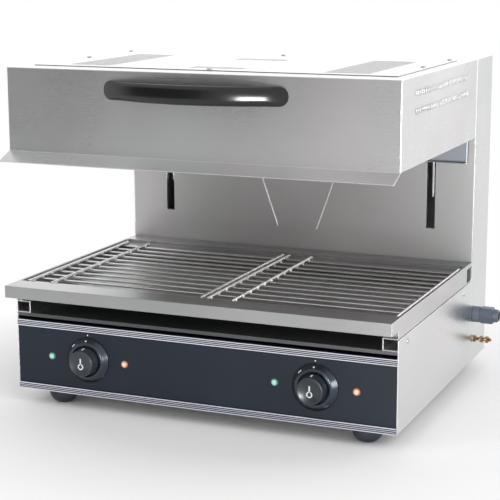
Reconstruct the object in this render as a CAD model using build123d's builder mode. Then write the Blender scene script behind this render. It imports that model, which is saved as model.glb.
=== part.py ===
from build123d import *
import math
import os

# A countertop cheese melter: an electric grill with a heated hood that rides up and down on a
# rear column, over a pull-out tray with two wire racks, on a base with two heat controls.
# Millimetres, +X to the right, +Y to the back, +Z up. Places are counted from the machine's
# middle plane (x), from the front of its base (y) and from the surface it stands on (z).

os.makedirs("parts", exist_ok=True)

# ---- casing -------------------------------------------------------------------------------
body_width = 600.0          # over the side panels
base_depth = 390.0          # front of the base to the front of the column
column_depth = 95.0         # front to back of the column
foot_height = 26.0          # table to the underside of the base
base_height = 134.0         # side panels of the base
column_height = 486.0       # underside of the base to the top of the column
sheet = 1.2                 # stainless sheet of all casings
edge_radius = 0.8           # outside radius of folded edges

# ---- base ---------------------------------------------------------------------------------
floor_flange = 15.0         # upstands round the floor pan
panel_height = 108.0        # control panel with both of its trim strips
panel_thickness = 1.5
trim_height = 10.0          # fluted strips along the panel's upper and lower edges
trim_thickness = 3.0
trim_groove_count = 3
trim_groove_radius = 0.9
deck_height = 118.0         # underside of the base to the top of the deck
deck_hem = 5.0              # folded front edge of the deck
rail_width = 22.0           # channels that carry the tray
rail_thickness = 1.5
rail_screw_front = 43.0     # front of the base to the rails' front screws
rail_screw_rear = 45.0      # rear of the base to their rear screws
rail_screw_height = 5.5     # deck to the screws
foot_top_radius = 23.0
foot_bottom_radius = 12.0
foot_collar = 8.0           # straight upper part of a foot
foot_bulge = 2.8            # how far its bowl swells out of a plain cone
foot_inset_x = 55.0
foot_inset_y = 40.0

# ---- controls -----------------------------------------------------------------------------
control_spacing = 360.0     # between the two knobs
control_height = 55.0       # above the underside of the base
lamp_spacing = 61.0         # knob to each of its lamps
lamp_lens_radius = 5.5
lamp_lens_height = 2.5
lamp_lens_edge = 1.5
lamp_body_radius = 4.5
lamp_body_length = 26.0
lamp_hole_gap = 0.4
bezel_radius = 34.5
bezel_rim_radius = 27.5
bezel_height = 9.0
bezel_step = 1.5            # straight edge of a bezel on the panel
bezel_bore_radius = 23.5
knob_radius = 21.0
knob_front = 24.0           # panel face to the knob's face
knob_back_gap = 2.0         # knob clear of the panel
knob_skirt = 6.0            # depth of the knob's straight back part
knob_taper = 1.5            # how much the knob narrows to its face
knob_edge = 2.0
knob_socket_depth = 11.0
shaft_radius = 3.0
shaft_fit = 0.05            # running clearance, radial
shaft_hole_gap = 1.0        # shaft clear of the panel and bezel
shaft_tail = 20.0           # length of shaft inside the thermostat
thermostat_width = 44.0
thermostat_depth = 34.0
terminal_block_width = 120.0
terminal_block_depth = 46.0
terminal_block_height = 32.0
terminal_count = 5
terminal_radius = 4.0
terminal_depth = 10.0

# ---- tray and racks -----------------------------------------------------------------------
tray_side_gap = 2.0         # base side panel to the tray's skirt
tray_rail_gap = 0.3         # rail to the underside of the tray
tray_skirt_height = 29.0
tray_skirt_short = 28.0     # rear end of the side skirts to the tray's rear edge
skirt_corner = 6.0          # round of the skirts' lower rear corners
tray_overhang = 32.0        # lip in front of the base
tray_lip_height = 18.0
tray_front_ledge = 8.0      # rear edge of the front ledge
tray_rear_ledge = 32.0      # width of the rear ledge
tray_wall_gap = 2.0         # tray to the back panel
rim_hem = 3.0               # width of the folded rim along the sides
rim_hem_height = 6.0
rack_bar_count = 12
rack_bar_radius = 2.0
rack_rod_radius = 2.5
rack_rod_gap = 11.0         # the pan's front and rear walls to the rods' ends
rack_rod_overrun = 14.0     # rods past the first and last bars
rack_end_gap = 4.0          # racks to the tray's rims
rack_middle_gap = 6.0       # between the two racks
rack_second_rod = 39.0      # first to second rod of a rack
rack_seat_gap = 0.3
weld_sink = 0.4             # how far rods sink into bars
ledge_lap = 9.0             # strips under the rods' ends

# ---- column -------------------------------------------------------------------------------
return_flange = 18.0        # folds of the column sides behind the back panel
slot_inset = 70.0           # side of the column to the middle of a slot in the back panel
slot_width = 14.0
slot_fold = 8.0             # folded edges of the slots, into the column
slot_spare = 39.0           # slot below the lowest place of an arm
slot_head = 20.0            # slot above the highest place of an arm
rib_width = 6.0             # pressed ribs in a V on the back panel
rib_height = 1.2
rib_slope = 35.0            # degrees, of a rib's flanks
rib_foot_offset = 34.0      # lower end of a rib from the middle
rib_foot_height = 66.0      # and above the base
rib_head_offset = 84.0      # upper end of a rib from the middle
rib_head_height = 206.0     # and above the base
cover_margin = 4.0          # rear cover to the edges of the column
cover_low = 14.0            # rear cover above the underside of the base
vent_length = 60.0
vent_width = 4.0
vent_pitch = 10.0
rear_vent_count = 9
rear_vent_height = 60.0     # first vent above the lower edge of the rear cover
rear_vent_inset = 146.0     # side of the rear cover to the middle of a vent group
rear_screw_inset = 30.0     # outer rear screws to the cover's upper and lower edges
shelf_height = 122.0        # underside of the base to the shelf in the column
shelf_slot_length = 44.0    # wire passage in the shelf
shelf_slot_width = 18.0
rod_radius = 6.0
rod_depth = 60.0            # front of the column to the guide rods
collar_radius = 15.0
collar_height = 14.0
collar_fit = 0.02

# ---- hood ---------------------------------------------------------------------------------
hood_height = 122.0
hood_overhang = 5.0         # hood's front in front of the base
hood_back_gap = 2.0
hood_travel = 120.0         # how far the hood comes down from its highest place
lip_reach = 30.0            # flared lip under the hood's front
lip_drop = 12.0
cover_inset_side = 20.0     # top cover to the hood's sides
cover_inset_front = 45.0
cover_inset_rear = 46.0
cover_lap = 18.0            # top cover over the edge of the opening under it
side_vent_height = 10.0
side_vent_width = 4.6
side_vent_pitch = 9.0
side_vent_rows = 24.9       # between the two rows
side_vent_top = 35.3        # top of the hood to the middle between the rows
side_vent_front = 65.0      # hood's front to the first vent
side_vent_rear = 58.0       # hood's rear to the last vent
top_vent_length = 68.0
top_vent_width = 3.6
top_vent_pitch = 9.6
top_vent_front = 22.0       # cover's front edge to the first vent of a side group
top_vent_rear = 59.0        # cover's rear edge to the last
top_vent_inset = 80.0       # cover's side edge to the middle of a side group
small_vent_length = 84.0
small_vent_count = 3
small_vent_front = 40.0     # cover's front edge to the middle of the front small group
small_vent_rear = 97.0      # cover's rear edge to the middle of the rear small group
rear_plate_inset = 11.0     # rear plate to the hood's sides
rear_plate_drop = 40.0      # rear plate below the hood's sides
rear_plate_set = 6.5        # rear plate in front of the back panel
rear_plate_thickness = 1.5
rear_plate_fold = 8.0       # folded lower edge of the rear plate
return_tab = 24.0
return_tab_gap = 2.0        # tabs above the hood's lower edge

# ---- heat ---------------------------------------------------------------------------------
reflector_side = 10.0       # reflector to the hood's sides
reflector_low = 6.0         # hood's lower edge to the reflector's rim
reflector_rear_gap = 2.0    # reflector to the hood's rear tabs
reflector_height = 40.0
reflector_sheet = 1.0
wool_height = 30.0
wool_gap = 4.0              # insulation to the reflector's edges
element_radius = 4.0
element_legs = 6
element_end_gap = 22.0      # reflector's front and rear to the ends of the legs
element_side_gap = 33.0     # reflector's sides to the outermost legs
element_middle_gap = 56.0   # between the two elements
element_height = 20.0       # reflector's roof to the element's middle
element_tail = 22.0         # cold ends above the reflector's roof
element_end_bend = 10.0     # bend radius below the cold ends
element_turn_spare = 0.01   # straight left between two half turns of a bend
element_hole_gap = 1.0
support_overrun = 8.0       # supports past the outermost legs' middles
support_width = 10.0
support_thickness = 2.0
support_spacing = 200.0     # between the two supports of an element
support_gap = 0.3
insulator_radius = 9.0
insulator_height = 12.0

# ---- handle -------------------------------------------------------------------------------
handle_length = 282.0
handle_height = 31.0
handle_reach = 38.0         # hood's front to the front of the grip
handle_thickness = 13.0
handle_foot = 34.0          # width of each end where it stands on the hood
handle_edge = 5.0
handle_end_radius = 13.0
handle_centre = 27.5        # top of the hood to the handle's middle line
handle_hole_inset = 18.0    # end of the handle to its screw

# ---- lift gear ----------------------------------------------------------------------------
arm_thickness = 3.0
arm_flange = 20.0
tongue_height = 70.0        # part of an arm that goes through its slot
tongue_low = 10.0           # tongue above the hood's lower edge
arm_drop = 110.0            # arm behind the panel, below its tongue
arm_rise = 10.0             # and above it
arm_panel_gap = 4.0
carriage_width = 44.0
carriage_depth = 36.0
carriage_height = 90.0
carriage_low = 40.0         # hood's lower edge down to the carriage's underside
bush_radius = 10.0
bush_length = 25.0
bush_fit = 0.05             # running clearance on the rod, radial
bush_seat = 0.02
tie_height = 20.0
tie_depth = 20.0
tie_wall = 2.0
tie_low = 5.0               # above the carriage's underside
spring_inset = 54.0         # middle of a guide rod to the spring beside it
spring_radius = 8.0         # of the coil's middle line
spring_wire = 0.9           # wire radius
spring_pitch = 2.5
spring_turns = 24
spring_end = 14.0           # height of each end loop
anchor_radius = 5.0
anchor_height = 12.0

# ---- fasteners and inlets -----------------------------------------------------------------
screw_radius = 2.0
screw_head_radius = 4.0
screw_head = 2.0
screw_head_edge = 1.0
screw_shank = 7.0
screw_hole_gap = 0.3
rail_screw_head = 1.0       # the flat heads of the rail screws
gland_behind = 19.0         # front of the column to the gland's middle
gland_height = 76.5         # above the underside of the base
gland_flange_radius = 13.0
gland_flange = 12.0
gland_nut_across = 25.0     # hexagon, across its flats
gland_nut = 21.0
gland_nose_radius = 10.5
gland_nose = 9.0
gland_nose_edge = 3.0
gland_bore_radius = 5.5
gland_thread_radius = 10.0
gland_thread = 12.0
locknut_across = 26.0
locknut_height = 5.0
thread_gap = 0.05
stud_height = 36.0
stud_radius = 3.0
stud_length = 30.0
stud_inner = 10.0
stud_nut_across = 10.0
stud_nut = 5.0
stud_nut_places = (0.0, 12.0, 20.5)

# ---- sizes that follow from these ---------------------------------------------------------
half_width = body_width / 2
inner_half = half_width - sheet
body_depth = base_depth + column_depth
base_low = foot_height
base_top = base_low + base_height
column_top = base_low + column_height
deck_top = base_low + deck_height
panel_top = base_low + panel_height
control_level = base_low + control_height
panel_front = base_depth                      # y of the back panel's face
panel_rear = panel_front + sheet
rail_top = base_top + tray_side_gap
tray_floor = rail_top + tray_rail_gap
rail_screw_places = (rail_screw_front, base_depth - rail_screw_rear)
rail_screw_level = deck_top + rail_screw_height
skirt_low = base_top + tray_side_gap
tray_top = skirt_low + tray_skirt_height
tray_rear = panel_front - tray_wall_gap
tray_skirt_rear = tray_rear - tray_skirt_short
rear_ledge_front = tray_rear - tray_rear_ledge
rack_rod_level = tray_top - sheet - rack_rod_radius
rack_bar_level = rack_rod_level - rack_rod_radius - rack_bar_radius + weld_sink
rack_rod_front = tray_front_ledge + rack_rod_gap
rack_rod_rear = rear_ledge_front - rack_rod_gap
rack_first_bar = rack_rod_front + rack_rod_overrun
rack_pitch = (rack_rod_rear - rack_rod_overrun - rack_first_bar) / (rack_bar_count - 1)
hood_top = column_top
hood_low = hood_top - hood_height
hood_front = -hood_overhang
hood_rear = panel_front - hood_back_gap
cover_top = hood_top + sheet
cover_x = half_width - cover_inset_side
cover_y0 = hood_front + cover_inset_front
cover_y1 = hood_rear - cover_inset_rear
cover_middle = (cover_y0 + cover_y1) / 2
cover_screw_x = cover_x - cover_lap / 2
cover_screw_rear = cover_y1 - cover_lap / 2
cover_screw_places = [(-cover_screw_x, cover_middle), (cover_screw_x, cover_middle),
                      (0, cover_y0 + cover_lap / 2), (0, cover_screw_rear),
                      (-cover_screw_x, cover_screw_rear), (cover_screw_x, cover_screw_rear)]
rear_plate_front = panel_front - rear_plate_set - rear_plate_thickness
rear_plate_rear = panel_front - rear_plate_set
slot_x = half_width - slot_inset
spring_x = slot_x - spring_inset
tongue_bottom = hood_low + tongue_low
tongue_top = tongue_bottom + tongue_height
slot_bottom = tongue_bottom - hood_travel - slot_spare
slot_top = tongue_top + slot_head
rod_y = panel_front + rod_depth
shelf_top = base_low + shelf_height
carriage_bottom = hood_low - carriage_low
carriage_top = carriage_bottom + carriage_height
carriage_front = rod_y - carriage_depth / 2
reflector_rim = hood_low + reflector_low
reflector_roof = reflector_rim + reflector_height
element_level = reflector_roof - reflector_sheet - element_height
handle_level = hood_top - handle_centre
handle_half = handle_length / 2
hole_x = handle_half - handle_hole_inset
rear_cover_half = half_width - cover_margin
rear_cover_bottom = base_low + cover_low
rear_cover_top = column_top - cover_margin
rear_screw_x = half_width - return_flange / 2
rear_screw_places = [(x, z) for x in (-rear_screw_x, rear_screw_x)
                     for z in (rear_cover_bottom + rear_screw_inset,
                               (rear_cover_bottom + rear_cover_top) / 2,
                               rear_cover_top - rear_screw_inset)]
tie_bottom = carriage_bottom + tie_low
tie_top = tie_bottom + tie_height
cap_low = column_top - sheet
gland_level = base_low + gland_height
stud_level = base_low + stud_height
inlet_y = base_depth + gland_behind
gland_reach = gland_flange + gland_nut + gland_nose

# The origin is under the middle of the whole machine's box, with its handle and cable gland.
reach_front = hood_overhang + handle_reach
reach_rear = body_depth + sheet + screw_head
middle_x = -(gland_reach - rail_screw_head) / 2
front_y = -(reach_rear - reach_front) / 2


def level(z, x=0.0, y=0.0):
    """A level plane that looks up, with its own X to the right and Y to the back."""
    return Plane((middle_x + x, front_y + y, z))


def facing_front(y, x=0.0, z=0.0):
    """An upright plane that looks to the front, with its own X to the right and Y up."""
    return Plane(origin=(middle_x + x, front_y + y, z), x_dir=(1, 0, 0), z_dir=(0, -1, 0))


def facing_right(x, y=0.0, z=0.0):
    """An upright plane that looks to the right, with its own X to the back and Y up."""
    return Plane(origin=(middle_x + x, front_y + y, z), x_dir=(0, 1, 0), z_dir=(1, 0, 0))


def slab(x0, x1, y0, y1, z0, z1, mode=Mode.ADD):
    """A plate or block between these limits."""
    with Locations((middle_x + (x0 + x1) / 2, front_y + (y0 + y1) / 2, (z0 + z1) / 2)):
        Box(x1 - x0, y1 - y0, z1 - z0, mode=mode)


def mirrored_slab(x0, x1, y0, y1, z0, z1, mode=Mode.ADD):
    """The same block on the left and on the right."""
    slab(x0, x1, y0, y1, z0, z1, mode)
    slab(-x1, -x0, y0, y1, z0, z1, mode)


def write_piece(piece, name):
    """Labels a finished piece and writes its STEP file."""
    piece.part.label = name
    export_step(piece.part, f"parts/{name}.step")


def arc_pair(start, start_way, end, end_way):
    """Two arcs that leave start along start_way and arrive at end along end_way."""
    gap = end - start
    ways = start_way + end_way
    spare = 4 - ways.dot(ways)
    along = gap.dot(ways)
    reach = (math.sqrt(along * along + spare * gap.dot(gap)) - along) / spare
    first = start + start_way * reach
    last = end - end_way * reach
    joint = (first + last) * 0.5
    TangentArc(start, joint, tangent=start_way)
    TangentArc(joint, end, tangent=(last - first).normalized())


# ==== base =================================================================================
with BuildPart() as floor_pan:
    slab(-inner_half, inner_half, panel_thickness, body_depth - sheet, base_low,
         base_low + floor_flange)
    slab(-inner_half + sheet, inner_half - sheet, panel_thickness + sheet,
         body_depth - 2 * sheet, base_low + sheet, base_low + floor_flange, Mode.SUBTRACT)
write_piece(floor_pan, "floor_pan")

for side, sign in (("left", -1), ("right", 1)):
    with BuildPart() as side_panel:
        outer_x = sign * half_width
        inner_x = sign * inner_half
        slab(min(outer_x, inner_x), max(outer_x, inner_x), 0, base_depth, base_low, base_top)
        with BuildSketch(facing_right(outer_x)):
            with Locations([(y, rail_screw_level) for y in rail_screw_places]):
                Circle(screw_radius + screw_hole_gap)
        extrude(amount=-sign * sheet, mode=Mode.SUBTRACT)
    write_piece(side_panel, f"side_panel_{side}")

with BuildPart() as control_panel:
    slab(-inner_half, inner_half, 0, panel_thickness, base_low, panel_top)
    slab(-inner_half, inner_half, 0, floor_flange, panel_top - sheet, panel_top)
    with BuildSketch(facing_front(0)):
        with Locations([(x, control_level) for x in (-control_spacing / 2, control_spacing / 2)]):
            Circle(shaft_radius + shaft_hole_gap)
            with Locations((-lamp_spacing, 0), (lamp_spacing, 0)):
                Circle(lamp_body_radius + lamp_hole_gap)
    extrude(amount=-panel_thickness, mode=Mode.SUBTRACT)
write_piece(control_panel, "control_panel")

for place, bottom in (("lower", base_low), ("upper", panel_top - trim_height)):
    with BuildPart() as trim:
        slab(-inner_half, inner_half, -trim_thickness, 0, bottom, bottom + trim_height)
        front_edges = trim.edges().filter_by(Axis.X).group_by(Axis.Y)[0]
        fillet(front_edges, edge_radius)
        groove_pitch = trim_height / (trim_groove_count + 1)
        with BuildSketch(facing_right(-inner_half, -trim_thickness, bottom + trim_height / 2)):
            with GridLocations(groove_pitch, groove_pitch, 1, trim_groove_count):
                Circle(trim_groove_radius)
        extrude(amount=2 * inner_half, mode=Mode.SUBTRACT)
    write_piece(trim, f"trim_{place}")

with BuildPart() as deck:
    slab(-inner_half, inner_half, 0, panel_front, deck_top - sheet, deck_top)
    slab(-inner_half, inner_half, 0, sheet, deck_top - deck_hem, deck_top)
    slab(-inner_half, inner_half, panel_front - sheet, panel_front, deck_top - floor_flange,
         deck_top)
write_piece(deck, "deck")

for side, sign in (("left", -1), ("right", 1)):
    with BuildPart() as rail:
        near = sign * (inner_half - rail_width)
        far = sign * inner_half
        web = sign * (inner_half - rail_width + rail_thickness)
        slab(min(near, far), max(near, far), 0, panel_front, deck_top, deck_top + rail_thickness)
        slab(min(near, far), max(near, far), 0, panel_front, rail_top - rail_thickness, rail_top)
        slab(min(near, web), max(near, web), 0, panel_front, deck_top, rail_top)
        tab = sign * (inner_half - rail_thickness)
        for y in rail_screw_places:
            slab(min(tab, far), max(tab, far), y - screw_head_radius, y + screw_head_radius,
                 deck_top, rail_screw_level + screw_head_radius)
        with BuildSketch(facing_right(far)):
            with Locations([(y, rail_screw_level) for y in rail_screw_places]):
                Circle(screw_radius + screw_hole_gap)
        extrude(amount=-sign * rail_thickness, mode=Mode.SUBTRACT)
    write_piece(rail, f"rail_{side}")

with BuildPart() as rail_screws:
    for sign in (-1, 1):
        for y in rail_screw_places:
            with BuildSketch(facing_right(sign * half_width, y, rail_screw_level)):
                Circle(screw_head_radius)
            extrude(amount=sign * rail_screw_head)
            with BuildSketch(facing_right(sign * half_width, y, rail_screw_level)):
                Circle(screw_radius)
            extrude(amount=-sign * screw_shank)
write_piece(rail_screws, "rail_screws")

with BuildPart() as feet:
    foot_x = half_width - foot_inset_x
    for x in (-foot_x, foot_x):
        for y in (foot_inset_y, body_depth - foot_inset_y):
            with BuildSketch(facing_front(y, x)):
                with BuildLine():
                    bowl_top = (foot_top_radius, foot_height - foot_collar)
                    SagittaArc((foot_bottom_radius, 0), bowl_top, -foot_bulge)
                    Polyline(bowl_top, (foot_top_radius, foot_height), (0, foot_height), (0, 0),
                             (foot_bottom_radius, 0))
                make_face()
            # each foot is turned about its own upright axis
            revolve(axis=Axis((middle_x + x, front_y + y, 0), (0, 0, 1)))
write_piece(feet, "feet")

# ==== controls =============================================================================
bezel_places = (-control_spacing / 2, control_spacing / 2)

with BuildPart() as knob_bezels:
    for x in bezel_places:
        with BuildSketch(level(control_level, x)):
            with BuildLine():
                Polyline((bezel_bore_radius, 0), (bezel_radius, 0), (bezel_radius, -bezel_step),
                         (bezel_rim_radius, -bezel_height), (bezel_bore_radius, -bezel_height),
                         (bezel_bore_radius, 0))
            make_face()
        revolve(axis=Axis((middle_x + x, front_y, control_level), (0, 1, 0)))
    rims = knob_bezels.edges().filter_by(GeomType.CIRCLE).group_by(Axis.Y)[0]
    fillet(rims, edge_radius)
write_piece(knob_bezels, "knob_bezels")

socket_back = -knob_back_gap - knob_socket_depth
for side, x in (("left", bezel_places[0]), ("right", bezel_places[1])):
    with BuildPart() as knob:
        with BuildSketch(level(control_level, x)):
            with BuildLine():
                Polyline((0, socket_back), (shaft_radius, socket_back), (shaft_radius, -knob_back_gap),
                         (knob_radius, -knob_back_gap), (knob_radius, -knob_back_gap - knob_skirt),
                         (knob_radius - knob_taper, -knob_front), (0, -knob_front), (0, socket_back))
            make_face()
        revolve(axis=Axis((middle_x + x, front_y, control_level), (0, 1, 0)))
        face_edge = knob.edges().filter_by(GeomType.CIRCLE).group_by(Axis.Y)[0]
        fillet(face_edge, knob_edge)
    write_piece(knob, f"knob_{side}")
    with BuildPart() as shaft:
        with BuildSketch(facing_front(panel_thickness + shaft_tail, x, control_level)):
            Circle(shaft_radius)
        extrude(amount=panel_thickness + shaft_tail - socket_back)
    write_piece(shaft, f"shaft_{side}")

with BuildPart() as thermostats:
    for x in bezel_places:
        with BuildSketch(facing_front(panel_thickness, x, control_level)):
            RectangleRounded(thermostat_width, thermostat_width, edge_radius)
        extrude(amount=-thermostat_depth)
        with BuildSketch(facing_front(panel_thickness, x, control_level)):
            Circle(shaft_radius + shaft_fit)
        extrude(amount=-shaft_tail - shaft_hole_gap, mode=Mode.SUBTRACT)
write_piece(thermostats, "thermostats")

lamp_places = [x + step for x in bezel_places for step in (-lamp_spacing, lamp_spacing)]
for colour, places in (("green", lamp_places[0::2]), ("amber", lamp_places[1::2])):
    with BuildPart() as lenses:
        for x in places:
            with BuildSketch(facing_front(0, x, control_level)):
                Circle(lamp_lens_radius)
            extrude(amount=lamp_lens_height)
        rims = lenses.edges().filter_by(GeomType.CIRCLE).group_by(Axis.Y)[0]
        fillet(rims, lamp_lens_edge)
    write_piece(lenses, f"lamp_lenses_{colour}")

with BuildPart() as lamp_bodies:
    for x in lamp_places:
        with BuildSketch(facing_front(0, x, control_level)):
            Circle(lamp_body_radius)
        extrude(amount=-lamp_body_length)
write_piece(lamp_bodies, "lamp_bodies")

with BuildPart() as terminal_block:
    block_end = half_width - foot_inset_x
    block_top = base_low + sheet + terminal_block_height
    slab(block_end - terminal_block_width, block_end, base_depth - terminal_block_depth,
         base_depth, base_low + sheet, block_top)
    with BuildSketch(level(block_top, block_end - terminal_block_width / 2,
                           base_depth - terminal_block_depth / 2)):
        with GridLocations(terminal_block_width / terminal_count, terminal_block_depth / 2,
                           terminal_count, 2):
            Circle(terminal_radius)
    extrude(amount=-terminal_depth, mode=Mode.SUBTRACT)
write_piece(terminal_block, "terminal_block")

# ==== tray and racks =======================================================================
with BuildPart() as grill_tray:
    wall_half = half_width - sheet
    pan_top = tray_top - sheet
    slab(-wall_half, wall_half, tray_front_ledge - sheet, rear_ledge_front + sheet, tray_floor,
         tray_floor + sheet)
    for sign in (-1, 1):
        with BuildSketch(facing_right(sign * half_width, 0, skirt_low)) as skirt:
            with Locations((tray_skirt_rear / 2, tray_skirt_height / 2)):
                Rectangle(tray_skirt_rear, tray_skirt_height)
            fillet(skirt.vertices().sort_by(Axis.Y)[:2].sort_by(Axis.X)[-1], skirt_corner)
        extrude(amount=-sign * sheet)
    mirrored_slab(half_width - rim_hem, half_width, 0, tray_rear, tray_top - rim_hem_height, tray_top)
    slab(-wall_half, wall_half, tray_front_ledge - sheet, tray_front_ledge, tray_floor, tray_top)
    slab(-wall_half, wall_half, rear_ledge_front, rear_ledge_front + sheet, tray_floor, tray_top)
    slab(-half_width, half_width, -tray_overhang, tray_front_ledge, pan_top, tray_top)
    slab(-wall_half, wall_half, rear_ledge_front, tray_rear, pan_top, tray_top)
    slab(-half_width, half_width, -tray_overhang, -tray_overhang + sheet,
         tray_top - tray_lip_height, tray_top)
    mirrored_slab(wall_half, half_width, -tray_overhang, 0, tray_top - tray_lip_height, tray_top)
    slab(-half_width, half_width, tray_rear - sheet, tray_rear, tray_top - rim_hem_height, tray_top)
    ledge_top = rack_rod_level - rack_rod_radius - rack_seat_gap
    slab(-wall_half, wall_half, tray_front_ledge, rack_rod_front + ledge_lap, ledge_top - sheet,
         ledge_top)
    slab(-wall_half, wall_half, rack_rod_rear - ledge_lap, rear_ledge_front, ledge_top - sheet,
         ledge_top)
    lip_edges = grill_tray.edges().filter_by(Axis.X).group_by(Axis.Y)[0]
    fillet(lip_edges.sort_by(Axis.Z)[-1], edge_radius)
write_piece(grill_tray, "grill_tray")

rack_length = (2 * (half_width - rim_hem - rack_end_gap) - rack_middle_gap) / 2
rack_starts = (-half_width + rim_hem + rack_end_gap, rack_middle_gap / 2)
for side, start in (("left", rack_starts[0]), ("right", rack_starts[1])):
    with BuildPart() as rack:
        with BuildSketch(facing_right(start)):
            with Locations([(rack_first_bar + i * rack_pitch, rack_bar_level)
                            for i in range(rack_bar_count)]):
                Circle(rack_bar_radius)
        extrude(amount=rack_length)
        rod_places = (rack_rod_radius, rack_rod_radius + rack_second_rod,
                      rack_length - rack_rod_radius)
        with BuildSketch(facing_front(rack_rod_rear, start)):
            with Locations([(x, rack_rod_level) for x in rod_places]):
                Circle(rack_rod_radius)
        extrude(amount=rack_rod_rear - rack_rod_front)
    write_piece(rack, f"rack_{side}")

# ==== column ===============================================================================
for side, sign in (("left", -1), ("right", 1)):
    with BuildPart() as column_side:
        outer_x = sign * half_width
        inner_x = sign * inner_half
        fold_x = sign * (half_width - return_flange)
        slab(min(outer_x, inner_x), max(outer_x, inner_x), base_depth, body_depth, base_low, column_top)
        slab(min(outer_x, fold_x), max(outer_x, fold_x), panel_rear, panel_rear + sheet, deck_top,
             column_top - floor_flange)
        slab(min(outer_x, fold_x), max(outer_x, fold_x), body_depth - sheet, body_depth,
             base_low + floor_flange, column_top - floor_flange)
        with BuildSketch(facing_front(body_depth)):
            with Locations([(x, z) for x, z in rear_screw_places if x * sign > 0]):
                Circle(screw_radius + screw_hole_gap)
        extrude(amount=sheet, mode=Mode.SUBTRACT)
        if side == "right":
            with BuildSketch(facing_right(half_width)):
                with Locations((inlet_y, gland_level)):
                    Circle(gland_thread_radius + screw_hole_gap)
                with Locations((inlet_y, stud_level)):
                    Circle(stud_radius + screw_hole_gap)
            extrude(amount=-sheet, mode=Mode.SUBTRACT)
    write_piece(column_side, f"column_side_{side}")

with BuildPart() as back_panel:
    slab(-inner_half, inner_half, panel_front, panel_rear, deck_top, cap_low)
    slot_middle = (slot_bottom + slot_top) / 2
    slot_height = slot_top - slot_bottom
    for x in (-slot_x, slot_x):
        with BuildSketch(facing_front(panel_front, x, slot_middle)):
            Rectangle(slot_width + 2 * sheet, slot_height + 2 * sheet)
        extrude(amount=-slot_fold)
        with BuildSketch(facing_front(panel_front, x, slot_middle)):
            Rectangle(slot_width, slot_height)
        extrude(amount=-slot_fold, mode=Mode.SUBTRACT)
    rib_run = rib_head_offset - rib_foot_offset
    rib_rise = rib_head_height - rib_foot_height
    rib_turn = math.degrees(math.atan2(rib_rise, rib_run))
    rib_middle = base_top + (rib_foot_height + rib_head_height) / 2
    for sign in (-1, 1):
        rib_x = sign * (rib_foot_offset + rib_head_offset) / 2
        with BuildSketch(facing_front(panel_front, rib_x, rib_middle)):
            SlotOverall(math.hypot(rib_run, rib_rise), rib_width,
                        rotation=rib_turn if sign > 0 else 180 - rib_turn)
        extrude(amount=rib_height, taper=rib_slope)
write_piece(back_panel, "back_panel")

with BuildPart() as column_cap:
    slab(-inner_half, inner_half, panel_front, body_depth - sheet, cap_low, column_top)
    slab(-inner_half, inner_half, body_depth - sheet, body_depth, column_top - floor_flange,
         column_top)
    mirrored_slab(inner_half - sheet, inner_half, panel_rear + sheet, body_depth - sheet,
                  column_top - floor_flange, column_top)
write_piece(column_cap, "column_cap")

with BuildPart() as rear_cover:
    slab(-rear_cover_half, rear_cover_half, body_depth, body_depth + sheet, rear_cover_bottom,
         rear_cover_top)
    vent_group = rear_vent_height + (rear_vent_count - 1) * vent_pitch / 2
    vent_x = rear_cover_half - rear_vent_inset
    with BuildSketch(facing_front(body_depth)):
        for x in (-vent_x, vent_x):
            for z in (rear_cover_bottom + vent_group, rear_cover_top - vent_group):
                with Locations((x, z)):
                    with GridLocations(vent_length, vent_pitch, 1, rear_vent_count):
                        SlotOverall(vent_length, vent_width)
        with Locations(rear_screw_places):
            Circle(screw_radius + screw_hole_gap)
    extrude(amount=-sheet, mode=Mode.SUBTRACT)
write_piece(rear_cover, "rear_cover")

with BuildPart() as rear_screws:
    for x, z in rear_screw_places:
        with BuildSketch(facing_front(body_depth + sheet, x, z)):
            Circle(screw_head_radius)
        extrude(amount=-screw_head)
        with BuildSketch(facing_front(body_depth + sheet, x, z)):
            Circle(screw_radius)
        extrude(amount=screw_shank)
    heads = rear_screws.edges().filter_by(GeomType.CIRCLE).group_by(Axis.Y)[-1]
    fillet(heads, screw_head_edge)
write_piece(rear_screws, "rear_screws")

with BuildPart() as column_shelf:
    slab(-inner_half + sheet, inner_half - sheet, panel_rear + sheet, body_depth - sheet,
         shelf_top - sheet, shelf_top)
    slab(-inner_half + sheet, inner_half - sheet, body_depth - 2 * sheet, body_depth - sheet,
         shelf_top - floor_flange, shelf_top)
    with BuildSketch(level(shelf_top)):
        with Locations((-slot_x, panel_front + rod_depth), (slot_x, panel_front + rod_depth)):
            Circle(rod_radius + collar_fit)
        with Locations((0, panel_front + rod_depth)):
            SlotOverall(shelf_slot_length, shelf_slot_width)
    extrude(amount=-sheet, mode=Mode.SUBTRACT)
write_piece(column_shelf, "column_shelf")

with BuildPart() as guide_rods:
    for x in (-slot_x, slot_x):
        with BuildSketch(level(shelf_top - sheet, x, rod_y)):
            Circle(rod_radius)
        extrude(amount=cap_low - shelf_top + sheet)
write_piece(guide_rods, "guide_rods")

with BuildPart() as rod_collars:
    for x in (-slot_x, slot_x):
        for z in (shelf_top, cap_low - collar_height):
            with BuildSketch(level(z, x, rod_y)):
                Circle(collar_radius)
                Circle(rod_radius + collar_fit, mode=Mode.SUBTRACT)
            extrude(amount=collar_height)
write_piece(rod_collars, "rod_collars")

with BuildPart() as spring_anchors:
    for x in (-spring_x, spring_x):
        with BuildSketch(level(cap_low - anchor_height, x, rod_y)):
            RegularPolygon(anchor_radius, 6)
        extrude(amount=anchor_height)
write_piece(spring_anchors, "spring_anchors")

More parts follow.
